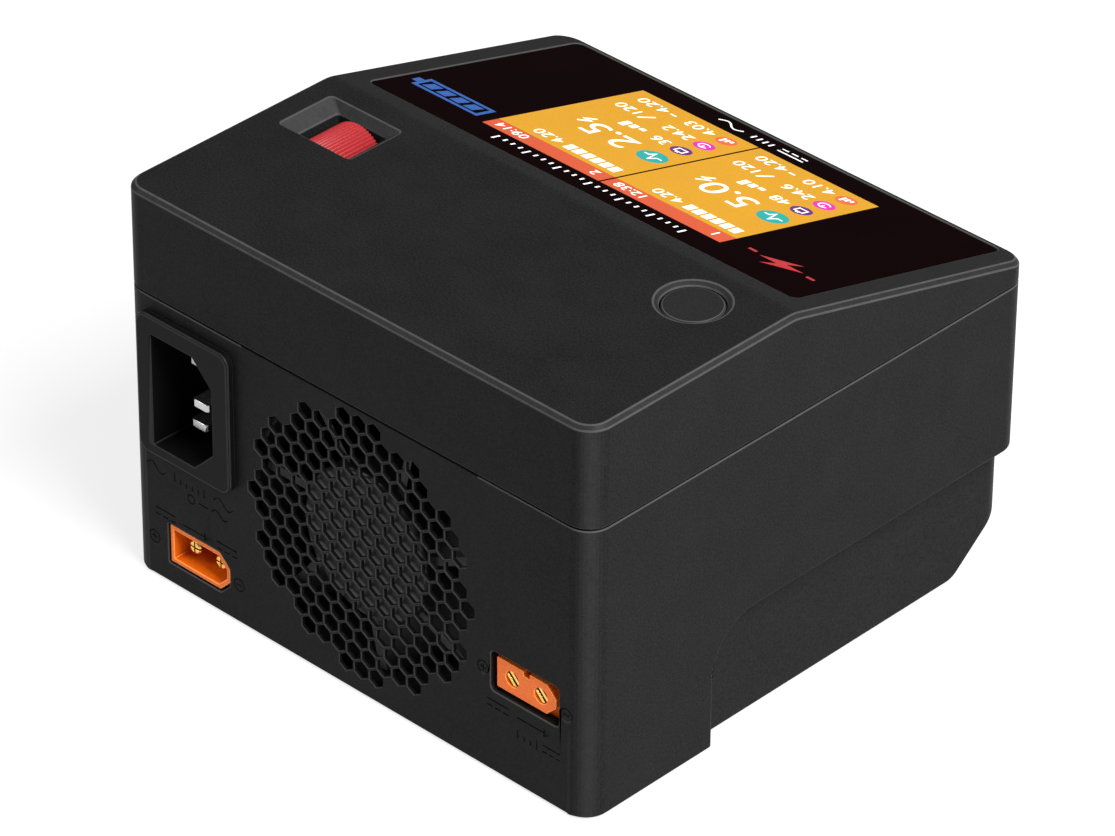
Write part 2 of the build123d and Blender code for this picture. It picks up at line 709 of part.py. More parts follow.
# ---------------------------------------------------------------- mains inlet
with BuildPart() as ac_inlet:
    with BuildSketch(upright(face_y)):
        with Locations((flange_x, flange_z)):
            RectangleRounded(flange_w, flange_h, flange_r)
    extrude(amount=flange_proud)
    chamfer(ac_inlet.edges().group_by(Axis.Y)[-1], flange_cut)
    with BuildSketch(upright(back_y)):
        keyed(mouth_w + 2 * inlet_wall, mouth_h + 2 * inlet_wall, mouth_cut, mouth_x, mouth_z)
    extrude(amount=inlet_length - flange_proud)
    with BuildSketch(upright(face_y)):
        keyed(mouth_w, mouth_h, mouth_cut, mouth_x, mouth_z)
    extrude(amount=mouth_depth, mode=Mode.SUBTRACT)
    with BuildSketch(upright(face_y)):
        with Locations(
            (mouth_x + earth_shift, mouth_z),
            (mouth_x + line_shift, mouth_z - blade_spread), (mouth_x + line_shift, mouth_z + blade_spread),
        ):
            Rectangle(blade_w, blade_t)
    extrude(amount=inlet_length + cut_past, mode=Mode.SUBTRACT)

tag_end = face_y - inlet_length - tag_length
with BuildPart() as ac_blades:
    with BuildSketch(upright(face_y - earth_tip)):
        with Locations((mouth_x + earth_shift, mouth_z)):
            Rectangle(blade_w, blade_t)
    extrude(amount=face_y - earth_tip - tag_end)
    with BuildSketch(upright(face_y - line_tip)):
        with Locations(
            (mouth_x + line_shift, mouth_z - blade_spread), (mouth_x + line_shift, mouth_z + blade_spread)
        ):
            Rectangle(blade_w, blade_t)
    extrude(amount=face_y - line_tip - tag_end)
    chamfer(ac_blades.edges().filter_by(Axis.Z).sort_by(Axis.Y)[-6:], tip_cut)


def lead(points, radius, bend):
    """Insulated lead that follows straight runs joined by round bends."""
    with BuildPart() as body:
        with BuildLine() as route:
            FilletPolyline(*points, radius=bend)
        start = Plane(origin=route.line @ 0, z_dir=route.line % 0)
        with BuildSketch(start):
            Circle(radius)
        sweep()
    return body.part


tags = [
    (mouth_x + earth_shift, mouth_z), (mouth_x + line_shift, mouth_z - blade_spread),
    (mouth_x + line_shift, mouth_z + blade_spread),
]
with BuildPart() as mains_leads:
    for (x, z), drop in zip(tags, mains_lead_drops):
        end = tag_end - drop
        add(lead([(x, tag_end, z), (x, end, z), (x, end, main_top)], lead_r, mains_lead_bend))

# ---------------------------------------------------------------- DC input and output
pin_tip = back_y - plug_sink - pin_sink
plug_back = back_y - plug_sink - plug_length
plug_floor = back_y - plug_sink - plug_depth
with BuildPart() as dc_in_shell:
    with BuildSketch(upright(back_y - plug_sink)):
        keyed(plug_w, plug_h, plug_cut, dc_in_x, dc_in_z)
    extrude(amount=plug_length)
    with BuildSketch(upright(inner_back)):
        keyed(plug_w + 2 * collar, plug_h + 2 * collar, plug_cut, dc_in_x, dc_in_z)
    extrude(amount=collar)
    with BuildSketch(upright(back_y - plug_sink)):
        keyed(plug_w - 2 * plug_wall, plug_h - 2 * plug_wall, plug_cut - plug_wall / 2, dc_in_x, dc_in_z)
    extrude(amount=plug_depth, mode=Mode.SUBTRACT)
    with BuildSketch(upright(back_y)):
        with Locations((dc_in_x - pin_pitch / 2, dc_in_z), (dc_in_x + pin_pitch / 2, dc_in_z)):
            Circle(pin_root_r)
    extrude(amount=plug_length + cut_past, mode=Mode.SUBTRACT)

with BuildPart() as dc_in_pins:
    for side in (-1, 1):
        x = dc_in_x + side * pin_pitch / 2
        with BuildSketch(upright(pin_tip)):
            with Locations((x, dc_in_z)):
                Circle(pin_r)
        extrude(amount=pin_tip - plug_floor)
        with BuildSketch(upright(plug_floor)):
            with Locations((x, dc_in_z)):
                Circle(pin_root_r)
        extrude(amount=plug_floor - plug_back + pin_tail)
        with Locations((x, plug_back - pin_tag_start, main_top)):
            Box(pin_tag_w, pin_tag_l, pin_tag_t, align=(Align.CENTER, Align.MAX, Align.MIN))
    tips = dc_in_pins.edges().filter_by(GeomType.CIRCLE).group_by(Axis.Y)[-1]
    chamfer(tips, pin_tip_cut)
    # cross slots that let each pin spring
    for turn in (0, 90):
        with BuildSketch(upright(pin_tip)):
            with Locations((dc_in_x - pin_pitch / 2, dc_in_z), (dc_in_x + pin_pitch / 2, dc_in_z)):
                Rectangle(2 * pin_r + cut_past, pin_slot, rotation=turn)
        extrude(amount=pin_slot_depth, mode=Mode.SUBTRACT)

socket_face = back_y - socket_sink
with BuildPart() as dc_out_block:
    with BuildSketch(upright(socket_face)):
        keyed(socket_w, socket_h, socket_cut, dc_out_x, dc_out_z)
    extrude(amount=plug_length)
    with BuildSketch(upright(inner_back)):
        keyed(bay_w + 2 * collar, bay_h + 2 * collar, socket_cut, dc_out_x, dc_out_z)
    extrude(amount=collar)
    with BuildSketch(upright(socket_face)):
        with Locations((dc_out_x, dc_out_z + socket_h / 2)):
            Rectangle(socket_notch_w, socket_notch_h)
    extrude(amount=socket_notch_l, mode=Mode.SUBTRACT)
    with BuildSketch(upright(socket_face)):
        with Locations((dc_out_x - pin_pitch / 2, dc_out_z), (dc_out_x + pin_pitch / 2, dc_out_z)):
            Circle(socket_hole_r)
    extrude(amount=plug_length + cut_past, mode=Mode.SUBTRACT)

fork_tip = socket_face - fork_sink
with BuildPart() as dc_out_contacts:
    for side in (-1, 1):
        x = dc_out_x + side * pin_pitch / 2
        with BuildSketch(upright(fork_tip - fork_length)):
            with Locations((x, dc_out_z)):
                Circle(socket_hole_r)
        extrude(amount=plug_length - fork_length + fork_tail)
        with BuildSketch(upright(fork_tip)):
            with Locations((x, dc_out_z)):
                Circle(socket_hole_r - fork_gap)
                Rectangle(fork_span, fork_w, rotation=45, mode=Mode.INTERSECT)
                Rectangle(fork_span, fork_slot, rotation=45, mode=Mode.SUBTRACT)
        extrude(amount=fork_length)

with BuildPart() as dc_out_leads:
    lead_start = fork_tip - plug_length - fork_tail
    for side in (-1, 1):
        x = dc_out_x + side * pin_pitch / 2
        lead_drop = main_rear - dc_out_lead_inset
        turns = [(x, lead_start, dc_out_z), (x, lead_drop, dc_out_z), (x, lead_drop, main_top)]
        add(lead(turns, lead_r, dc_out_lead_bend))

# ---------------------------------------------------------------- fan
with BuildPart() as fan_frame:
    with BuildSketch(upright(fan_back)):
        with Locations((fan_x, fan_z)):
            RectangleRounded(fan_size, fan_size, fan_corner_r)
            Circle(fan_bore_r, mode=Mode.SUBTRACT)
            with GridLocations(fan_hole_pitch, fan_hole_pitch, 2, 2):
                Circle(fan_hole_r, mode=Mode.SUBTRACT)
    extrude(amount=fan_depth)
    with BuildSketch(upright(fan_front + strut_t)):
        with Locations((fan_x, fan_z)):
            Circle(hub_r - frame_hub_in)
            with PolarLocations(0, 4, start_angle=45):
                with Locations(((fan_bore_r + strut_root) / 2, 0)):
                    Rectangle(fan_bore_r + strut_root, strut_w)
    extrude(amount=strut_t)
    with BuildSketch(upright(fan_front + bearing_back)):
        with Locations((fan_x, fan_z)):
            Circle(bearing_r)
    extrude(amount=bearing_back - shaft_clear)
    with BuildSketch(upright(fan_front + bearing_back)):
        with Locations((fan_x, fan_z)):
            Circle(shaft_r + run_gap)
    extrude(amount=bearing_back - shaft_clear + bearing_bore_past, mode=Mode.SUBTRACT)

hub_face = back_y - grille_t - hub_gap
with BuildPart() as fan_rotor:
    with BuildSketch(upright(hub_face)):
        with Locations((fan_x, fan_z)):
            Circle(hub_r)
    extrude(amount=hub_face - fan_front - strut_t - hub_strut_gap)
    fillet(fan_rotor.edges().group_by(Axis.Y)[-1], hub_edge_r)
    with BuildSketch(upright(hub_face - hub_front_t)):
        with Locations((fan_x, fan_z)):
            Circle(hub_r - hub_wall)
    extrude(amount=fan_depth, mode=Mode.SUBTRACT)
    with BuildSketch(upright(hub_face - hub_shaft_start)):
        with Locations((fan_x, fan_z)):
            Circle(shaft_r)
    extrude(amount=hub_face - hub_shaft_start - fan_front - shaft_clear)
    vane_span = vane_tip_r - hub_r
    with BuildPart(mode=Mode.PRIVATE) as vanes:
        with BuildSketch(upright(fan_back - vane_back)):
            with Locations((fan_x, fan_z)):
                Circle(vane_tip_r)
                Circle(hub_r - hub_wall / 2, mode=Mode.SUBTRACT)
        extrude(amount=fan_depth - vane_back - vane_front)
        with BuildPart(mode=Mode.PRIVATE) as slabs:
            with Locations((fan_x, fan_back - vane_back - (fan_depth - vane_back - vane_front) / 2, fan_z)):
                for turn in range(vane_count):
                    with Locations(Rotation(0, turn * 360 / vane_count, 0)):
                        with Locations((hub_r + vane_span / 2, 0, 0)):
                            Box(vane_span + 2 * hub_wall, 2 * fan_depth, vane_t, rotation=(vane_pitch, 0, 0))
        add(slabs.part, mode=Mode.INTERSECT)
    add(vanes.part)

with BuildPart() as fan_stator:
    with BuildSketch(upright(fan_front + bearing_back - stator_drop)):
        with Locations((fan_x, fan_z)):
            Circle(hub_r - stator_gap)
            Circle(bearing_r, mode=Mode.SUBTRACT)
            with PolarLocations(hub_r - stator_slot_in, 6):
                Circle(stator_slot_r, mode=Mode.SUBTRACT)
    extrude(amount=stator_t)

with BuildPart() as fan_screws:
    with BuildSketch(upright(fan_front)):
        with Locations((fan_x, fan_z)):
            with GridLocations(fan_hole_pitch, fan_hole_pitch, 2, 2):
                Circle(head_r)
    extrude(amount=head_h)
    with BuildSketch(upright(fan_front)):
        with Locations((fan_x, fan_z)):
            with GridLocations(fan_hole_pitch, fan_hole_pitch, 2, 2):
                Circle(screw_r)
    extrude(amount=-(fan_depth + wall - screw_end))

# ---------------------------------------------------------------- main board and what stands on it
with BuildPart() as insulating_sheet:
    with BuildSketch(Plane.XY.offset(floor_z)):
        with Locations((0, (main_front + main_rear) / 2 + sheet_shift)):
            Rectangle(2 * (main_half - sheet_side), main_rear - main_front - 2 * sheet_end)
        with Locations(*standoffs, *post_places):
            Circle(post_r + post_clear, mode=Mode.SUBTRACT)
        with GridLocations(air_slot_pitch, air_row_pitch, air_slot_count, 2):
            SlotOverall(air_slot_l + sheet_clear, air_slot_w + sheet_clear, rotation=90, mode=Mode.SUBTRACT)
    extrude(amount=sheet_t)

with BuildPart() as main_board:
    with BuildSketch(Plane.XY.offset(main_z)):
        with Locations((0, (main_front + main_rear) / 2)):
            RectangleRounded(2 * main_half, main_rear - main_front, board_r)
        for x, y in post_places:
            with Locations((x, y)):
                Circle(post_r + main_post_clear, mode=Mode.SUBTRACT)
            with Locations((x + (notch_shift if x > 0 else -notch_shift), y)):
                Rectangle(notch_l, notch_w, mode=Mode.SUBTRACT)
        with Locations(*standoffs):
            Circle(screw_r + screw_gap, mode=Mode.SUBTRACT)
    extrude(amount=board_t)

with BuildPart() as board_screws:
    with Locations(*[(x, y, main_top) for x, y in standoffs]):
        Cylinder(head_r, head_h, align=CENTRE_LOW)
        Cylinder(screw_r, board_t + board_screw_grip, align=CENTRE_HIGH)

core_y = main_rear - core_back
core_z = main_top + core_lift
with BuildPart() as transformer_core:
    with Locations((core_x, core_y, core_z)):
        Box(core_w, core_l, core_h, align=CENTRE_LOW)
    with BuildSketch(upright(core_y)):
        for side in (-1, 1):
            with Locations((core_x + side * core_window_x, core_z + core_h / 2)):
                Rectangle(core_window_w, core_h - 2 * core_yoke)
    extrude(amount=core_l, both=True, mode=Mode.SUBTRACT)

with BuildPart() as transformer_winding:
    with BuildSketch(Plane.XY.offset(core_z + winding_end)):
        with Locations((core_x, core_y)):
            RectangleRounded(winding_w, core_l + winding_over, winding_r)
            Rectangle(2 * core_window_x - core_window_w, core_l, mode=Mode.SUBTRACT)
    extrude(amount=core_h - 2 * winding_end)

with BuildPart() as bulk_capacitors:
    with Locations(*[(x, main_rear - capacitor_back, main_top) for x in capacitor_x]):
        Cylinder(capacitor_r, capacitor_h, align=CENTRE_LOW)
    chamfer(bulk_capacitors.edges().filter_by(GeomType.CIRCLE).group_by(Axis.Z)[-1], capacitor_edge)

with BuildPart() as output_inductors:
    inductor_z = main_top + inductor_r + inductor_wire_r
    with Locations(*[(x, main_rear - inductor_back, inductor_z) for x in inductor_x]):
        Torus(inductor_r, inductor_wire_r, rotation=(90, 0, 0))

with BuildPart() as heat_sink:
    with Locations((fan_x, main_rear - sink_back, main_top)):
        Box(sink_w, sink_l, sink_base, align=CENTRE_LOW)
        with GridLocations(fin_pitch, 0, fin_count, 1):
            Box(fin_t, sink_l, sink_h, align=CENTRE_LOW)

with BuildPart() as power_transistors:
    for x in transistor_x:
        with Locations((fan_x + x, main_rear - transistor_back, main_top)):
            with Locations((0, 0, leg_h)):
                Box(transistor_w, transistor_t, transistor_h, align=CENTRE_LOW)
            with Locations((-leg_pitch, 0, 0), (0, 0, 0), (leg_pitch, 0, 0)):
                Box(leg_w, leg_t, leg_h, align=CENTRE_LOW)

with BuildPart() as mains_choke:
    with Locations((choke_side - main_half, main_rear - choke_back, main_top)):
        Box(choke_w, choke_l, choke_h, align=CENTRE_LOW)
    chamfer(mains_choke.edges().filter_by(Axis.Z), choke_edge)

with BuildPart() as fuse:
    with Locations((main_half - fuse_side, main_rear - fuse_back, main_top + fuse_r + fuse_lift)):
        Cylinder(fuse_r, fuse_l, rotation=(90, 0, 0))

# ---------------------------------------------------------------- output sockets in the front
with BuildPart() as output_board:
    with BuildSketch(upright(output_board_y + board_t)):
        with Locations((0, (output_board_low + output_board_high) / 2)):
            Rectangle(width - 2 * output_board_side, output_board_high - output_board_low)
    extrude(amount=board_t)

output_face = front_y + socket_sink
output_places = [(x + side * pin_pitch / 2, output_z) for x in (-output_x, output_x) for side in (-1, 1)]
output_tube_r = output_bore_r + output_tube_t
with BuildPart() as output_blocks:
    with BuildSketch(upright(output_board_y)):
        for x in (-output_x, output_x):
            keyed(socket_w, socket_h, socket_cut, x, output_z)
    extrude(amount=output_board_y - output_face)
    with BuildSketch(upright(output_board_y)):
        for x in (-output_x, output_x):
            keyed(bay_w + 2 * collar, bay_h + 2 * collar, socket_cut, x, output_z)
    extrude(amount=output_board_y - inner_front)
    with BuildSketch(upright(output_board_y)):
        with Locations(*output_places):
            Circle(output_tube_r)
    extrude(amount=output_board_y - output_face, mode=Mode.SUBTRACT)

with BuildPart() as output_contacts:
    with BuildSketch(upright(output_board_y)):
        with Locations(*output_places):
            Circle(output_tube_r)
    extrude(amount=output_board_y - output_face - fork_sink)
    with BuildSketch(upright(output_face)):
        with Locations(*output_places):
            Circle(output_bore_r)
    extrude(amount=-output_bore_l, mode=Mode.SUBTRACT)

with BuildPart() as balance_sockets:
    with BuildSketch(upright(output_board_y)):
        with Locations((-balance_x, output_z), (balance_x, output_z)):
            Rectangle(balance_w, balance_h)
    extrude(amount=output_board_y - front_y)
    with BuildSketch(upright(front_y)):
        with Locations((-balance_x, output_z), (balance_x, output_z)):
            Rectangle(balance_w - 2 * balance_wall, balance_h - 2 * balance_wall)
        for x in (-balance_x, balance_x):
            with Locations(*[(x + side * balance_key_x, output_z + balance_h / 2) for side in (-1, 1)]):
                Rectangle(balance_key, balance_key)
    extrude(amount=-balance_deep, mode=Mode.SUBTRACT)

balance_places = [
    (x + (way - (balance_ways - 1) / 2) * balance_pitch, output_z)
    for x in (-balance_x, balance_x) for way in range(balance_ways)
]
with BuildPart() as balance_pins:
    with BuildSketch(upright(front_y + balance_deep)):
        with Locations(*balance_places):
            Rectangle(balance_pin, balance_pin)
    extrude(amount=balance_pin_l)

with BuildPart() as usb_shell:
    with BuildSketch(upright(output_board_y)):
        with Locations((0, usb_z)):
            Rectangle(usb_w, usb_h)
            Rectangle(usb_w - 2 * usb_wall, usb_h - 2 * usb_wall, mode=Mode.SUBTRACT)
    extrude(amount=output_board_y - front_y - usb_sink)
    with BuildSketch(upright(output_board_y)):
        with Locations((0, usb_z)):
            Rectangle(usb_w, usb_h)
    extrude(amount=usb_back_t)

with BuildPart() as usb_tongue:
    with BuildSketch(upright(output_board_y - usb_back_t)):
        with Locations((0, usb_z + usb_tongue_up)):
            Rectangle(usb_w - 2 * usb_tongue_side, usb_tongue_t)
    extrude(amount=usb_tongue_l)

# ---------------------------------------------------------------- ribbons and case screws
board_back = panel_back.offset(-display_board_t)
with BuildPart() as display_ribbon:
    lower = board_back.from_local_coords((0, -display_ribbon_down, 0))
    with Locations((0, lower.Y, main_top)):
        Box(display_ribbon_w, ribbon_t, lower.Z - main_top - ribbon_gap, align=CENTRE_LOW)

with BuildPart() as control_ribbon:
    upper = board_back.from_local_coords((0, -control_ribbon_down, 0))
    ribbon_y = control_front + control_ribbon_start
    with BuildLine() as route:
        FilletPolyline(
            (0, ribbon_y, control_top), (0, ribbon_y, control_top + control_ribbon_rise),
            (0, upper.Y, control_top + control_ribbon_rise), (0, upper.Y, upper.Z - ribbon_gap),
            radius=control_ribbon_bend,
        )
    with BuildSketch(Plane(origin=(0, ribbon_y, control_top), z_dir=(0, 0, 1))):
        Rectangle(control_ribbon_w, ribbon_t)
    sweep()

with BuildPart() as case_screws:
    with Locations(*[(x, y, post_z - post_web) for x, y in post_places]):
        Cylinder(head_r, head_h, align=CENTRE_HIGH)
        Cylinder(screw_r, post_web + case_screw_grip, align=CENTRE_LOW)

# ---------------------------------------------------------------- hand over
pieces = {
    "bottom_case": bottom_case, "fan_grille": fan_grille, "rubber_feet": rubber_feet, "top_cover": top_cover,
    "display_glass": display_glass, "lcd_panel": lcd_panel, "display_board": display_board,
    "display_screws": display_screws, "display_ribbon": display_ribbon, "control_board": control_board,
    "control_screws": control_screws, "control_ribbon": control_ribbon, "button_cap": button_cap,
    "button_switch": button_switch, "button_plunger": button_plunger, "scroll_wheel": scroll_wheel,
    "wheel_axle": wheel_axle, "wheel_cradle": wheel_cradle, "wheel_encoder": wheel_encoder,
    "wheel_switch": wheel_switch, "wheel_plunger": wheel_plunger,
    "ac_inlet": ac_inlet, "ac_blades": ac_blades, "mains_leads": mains_leads,
    "dc_in_shell": dc_in_shell, "dc_in_pins": dc_in_pins,
    "dc_out_block": dc_out_block, "dc_out_contacts": dc_out_contacts, "dc_out_leads": dc_out_leads,
    "fan_frame": fan_frame, "fan_stator": fan_stator, "fan_rotor": fan_rotor, "fan_screws": fan_screws,
    "main_board": main_board, "board_screws": board_screws, "insulating_sheet": insulating_sheet,
    "transformer_core": transformer_core, "transformer_winding": transformer_winding,
    "bulk_capacitors": bulk_capacitors, "output_inductors": output_inductors, "heat_sink": heat_sink,
    "power_transistors": power_transistors, "mains_choke": mains_choke, "fuse": fuse,
    "output_board": output_board, "output_blocks": output_blocks, "output_contacts": output_contacts,
    "balance_sockets": balance_sockets, "balance_pins": balance_pins, "usb_shell": usb_shell,
    "usb_tongue": usb_tongue, "case_screws": case_screws,
}
for name, piece in pieces.items():
    piece.part.label = name
    export_step(piece.part, f"parts/{name}.step")
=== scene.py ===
"""Looks of a two-channel balance battery charger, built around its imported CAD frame.

Metres, in the frame's own axes: +Z up, the user on the -Y side, sockets and fan on the +Y side.
"""
from math import cos, pi, radians, sin, sqrt
import json

import bmesh
import bpy
from mathutils import Matrix, Vector


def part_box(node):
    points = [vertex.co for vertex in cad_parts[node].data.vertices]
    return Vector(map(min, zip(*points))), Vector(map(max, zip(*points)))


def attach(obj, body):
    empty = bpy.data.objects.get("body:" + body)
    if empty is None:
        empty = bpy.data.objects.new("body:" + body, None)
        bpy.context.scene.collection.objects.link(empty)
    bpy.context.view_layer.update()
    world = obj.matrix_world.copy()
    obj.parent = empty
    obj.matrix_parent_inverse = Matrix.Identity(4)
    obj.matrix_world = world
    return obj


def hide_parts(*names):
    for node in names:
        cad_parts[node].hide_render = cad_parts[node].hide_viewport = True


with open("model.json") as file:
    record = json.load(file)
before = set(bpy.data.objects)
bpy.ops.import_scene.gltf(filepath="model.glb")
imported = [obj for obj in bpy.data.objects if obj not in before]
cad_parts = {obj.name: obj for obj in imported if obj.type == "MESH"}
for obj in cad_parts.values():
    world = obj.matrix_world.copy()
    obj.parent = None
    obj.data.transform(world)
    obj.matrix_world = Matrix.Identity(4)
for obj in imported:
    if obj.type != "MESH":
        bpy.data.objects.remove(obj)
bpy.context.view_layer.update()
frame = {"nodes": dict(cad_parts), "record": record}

MM = 0.001
MERGE = 1e-6
PAINTED_HIGHLIGHT = "edge"                           # face attribute of painted highlights: how much paler each face is made, full on the narrow faces along softened edges
UP = Vector((0, 0, 1))


# ---------------------------------------------------------------- node trees
def tint(red, green, blue):
    """Linear colour of an eye-level 0 to 255 one."""
    parts = [c / 255 for c in (red, green, blue)]
    return tuple(c / 12.92 if c <= 0.04045 else ((c + 0.055) / 1.055) ** 2.4 for c in parts) + (1.0,)


def pick(sockets, key):
    """A node's socket by its place, identifier or name."""
    if isinstance(key, int):
        return sockets[key]
    return next(s for s in sockets if key in (s.identifier, s.name))


class Socket:
    """An output of a node. Arithmetic on it adds Math nodes to its tree."""

    def __init__(self, graph, output):
        self.graph = graph
        self.output = output

    def __add__(self, other):
        return self.graph.math("ADD", self, other)

    def __radd__(self, other):
        return self.graph.math("ADD", other, self)

    def __sub__(self, other):
        return self.graph.math("SUBTRACT", self, other)

    def __rsub__(self, other):
        return self.graph.math("SUBTRACT", other, self)

    def __mul__(self, other):
        return self.graph.math("MULTIPLY", self, other)

    def __rmul__(self, other):
        return self.graph.math("MULTIPLY", other, self)

    def __truediv__(self, other):
        return self.graph.math("DIVIDE", self, other)

    def __lt__(self, other):
        return self.graph.math("LESS_THAN", self, other)

    def __gt__(self, other):
        return self.graph.math("GREATER_THAN", self, other)

    def __abs__(self):
        return self.graph.math("ABSOLUTE", self)


class Outputs:
    """What a node gives out, by name."""

    def __init__(self, graph, node):
        self.graph = graph
        self.node = node

    def __getitem__(self, key):
        return Socket(self.graph, pick(self.node.outputs, key))


class Graph:
    """A node tree for a material or for geometry, built up by calls."""

    def __init__(self, tree):
        self.tree = tree

    def node(self, kind, settings=None, sockets=None):
        """Adds a node: its settings first, then the values or links of its sockets."""
        made = self.tree.nodes.new(kind)
        for key, value in (settings or {}).items():
            if key == "stops":
                set_stops(made.color_ramp, value)
            else:
                setattr(made, key, value)
        for key, value in (sockets or {}).items():
            if isinstance(value, Socket):
                self.tree.links.new(value.output, pick(made.inputs, key))
            else:
                pick(made.inputs, key).default_value = value
        return Outputs(self, made)

    def math(self, operation, *values):
        return self.node("ShaderNodeMath", {"operation": operation}, dict(enumerate(values)))["Value"]


def set_stops(ramp, stops):
    """Gives a colour ramp its stops, as (place, colour) pairs."""
    while len(ramp.elements) < len(stops):
        ramp.elements.new(1.0)
    for element, (place, colour) in zip(ramp.elements, stops):
        element.position = place
        element.color = colour


class Finish(Graph):
    """A procedural material. Its patterns follow the object's own coordinates, in metres."""

    def __init__(self, name):
        self.material = bpy.data.materials.new(name)
        self.material.use_nodes = True
        super().__init__(self.material.node_tree)
        self.tree.nodes.clear()
        self.place = self.node("ShaderNodeTexCoord")["Object"]

    def stretched(self, x, y, z):
        return self.node("ShaderNodeMapping", None, {"Vector": self.place, "Scale": (x, y, z)})["Vector"]

    def noise(self, grain, detail=2.0, place=None):
        """Noise whose patches are about this many metres across."""
        sockets = {"Vector": place or self.place, "Scale": 1 / grain, "Detail": detail, "Roughness": 0.55}
        return self.node("ShaderNodeTexNoise", None, sockets)["Fac"]

    def cells(self, size, place=None):
        """Distance to the middle of the nearest cell, 0 to about 0.7."""
        sockets = {"Vector": place or self.place, "Scale": 1 / size}
        return self.node("ShaderNodeTexVoronoi", None, sockets)["Distance"]

    def between(self, share, low, high):
        """A number that goes from low to high as share goes from 0 to 1."""
        return share * (high - low) + low

    def blend(self, share, first, second):
        sockets = {"Factor_Float": share, "A_Color": first, "B_Color": second}
        return self.node("ShaderNodeMix", {"data_type": "RGBA"}, sockets)["Result_Color"]

    def shades(self, share, *stops):
        return self.node("ShaderNodeValToRGB", {"stops": stops}, {"Fac": share})["Color"]

    def painted_highlight_share(self):
        """How much paler a face is painted as a highlight: 1 on the narrow faces that softening put along a
        piece's edges, less on corners and slopes painted paler, and 0 elsewhere.
        """
        return self.node("ShaderNodeAttribute", {"attribute_name": PAINTED_HIGHLIGHT})["Fac"]

    def relief(self, height, depth):
        """Surface relief of this depth in metres."""
        return self.node("ShaderNodeBump", None, {"Height": height, "Distance": depth})["Normal"]

    def done(self, sockets):
        shader = self.node("ShaderNodeBsdfPrincipled", None, sockets)["BSDF"]
        self.node("ShaderNodeOutputMaterial", None, {"Surface": shader})
        return self.material


# ---------------------------------------------------------------- finishes
def moulded(name, dark, light, rough, grain=0.35 * MM, depth=0.012 * MM, shine=0.5, mottle=9 * MM, highlight_tone=None):
    """Spark-textured moulded plastic: fine grain, faint flow patches and a painted highlight that makes
    rounded edges a little paler.
    """
    f = Finish(name)
    fine = f.noise(grain, 3.0)
    pits = f.cells(grain * 0.8)
    flow = f.noise(mottle, 4.0)
    share = f.between(flow, -0.1, 0.3) + f.between(fine, -0.35, 1.15)
    height = fine * 0.7 + pits * 0.6
    colour = f.blend(share, dark, light)
    if highlight_tone:
        # painted highlight: faces marked in the face attribute get the paler tone, a little unevenly
        highlighted = f.painted_highlight_share() * f.between(f.noise(1.6 * MM, 2.0), 0.55, 0.95)
        colour = f.blend(highlighted, colour, highlight_tone)
    return f.done({
        "Base Color": colour,
        "Roughness": f.between(flow * 0.6 + fine * 0.4, rough[0], rough[1]),
        "Specular IOR Level": shine,
        "Normal": f.relief(height, depth),
    })


def metal(name, dark, light, rough, grain=0.25 * MM, lines=(1, 1, 1), depth=0.004 * MM):
    """Metal with fine scratches that run along the direction with the smallest number in lines."""
    f = Finish(name)
    drawn = f.noise(grain, 3.0, f.stretched(*lines))
    stain = f.noise(2.5 * MM, 3.0)
    return f.done({
        "Base Color": f.blend(stain * 0.6 + drawn * 0.4, dark, light),
        "Metallic": f.between(stain, 0.93, 1.0),
        "Roughness": f.between(drawn * 0.7 + stain * 0.3, rough[0], rough[1]),
        "Normal": f.relief(drawn, depth),
    })


def rubber():
    f = Finish("foot_rubber")
    fine = f.noise(0.5 * MM, 4.0)
    dust = f.noise(6 * MM, 5.0)
    return f.done({
        "Base Color": f.blend(dust, tint(24, 24, 25), tint(46, 45, 44)),
        "Roughness": f.between(dust * 0.5 + fine * 0.5, 0.72, 0.92),
        "Specular IOR Level": 0.35,
        "Normal": f.relief(fine, 0.03 * MM),
    })


def window_glass():
    """Cover glass with its back printed black, a trace of warm tone and a few faint smears."""
    f = Finish("black_glass")
    smear = f.noise(14 * MM, 4.0, f.stretched(1, 0.35, 0.35))
    dust = f.cells(1.6 * MM)
    return f.done({
        "Base Color": f.blend(smear, tint(5, 0, 1), tint(9, 1, 2)),
        "Roughness": f.between(smear, 0.05, 0.14) + (dust < 0.03) * 0.2,
        "Specular IOR Level": 0.004,
    })


def lit(name, colour, strength, second=None):
    """Lit or printed colour under the glass, with the fine grid of a panel's dots."""
    f = Finish(name)
    dots = f.cells(0.12 * MM)
    cloud = f.noise(20 * MM, 2.0)
    shade = f.blend(f.between(cloud, 0.0, 1.0), colour, second or colour)
    glow = f.blend(dots * 0.35, shade, tint(0, 0, 0))
    return f.done({
        "Base Color": glow,
        "Roughness": f.between(cloud, 0.1, 0.2),
        "Specular IOR Level": 0.35,
        "Emission Color": glow,
        "Emission Strength": strength,
    })


def printed(name, dark, light):
    """Screen-printed ink with a slightly uneven film."""
    f = Finish(name)
    film = f.noise(0.3 * MM, 4.0)
    return f.done({
        "Base Color": f.blend(film, dark, light),
        "Roughness": f.between(film, 0.28, 0.42),
        "Normal": f.relief(film, 0.003 * MM),
    })


def board():
    """Solder mask over copper tracks, with the glass cloth just showing."""
    f = Finish("board")
    cloth = f.cells(0.7 * MM)
    tracks = f.noise(3 * MM, 0.0, f.stretched(1, 1, 0.2))
    edge = abs(tracks - 0.5) < 0.03
    return f.done({
        "Base Color": f.blend(edge, tint(18, 74, 44), tint(46, 118, 66)),
        "Roughness": f.between(cloth, 0.32, 0.5),
        "Normal": f.relief(cloth * 0.2 + edge, 0.03 * MM),
    })


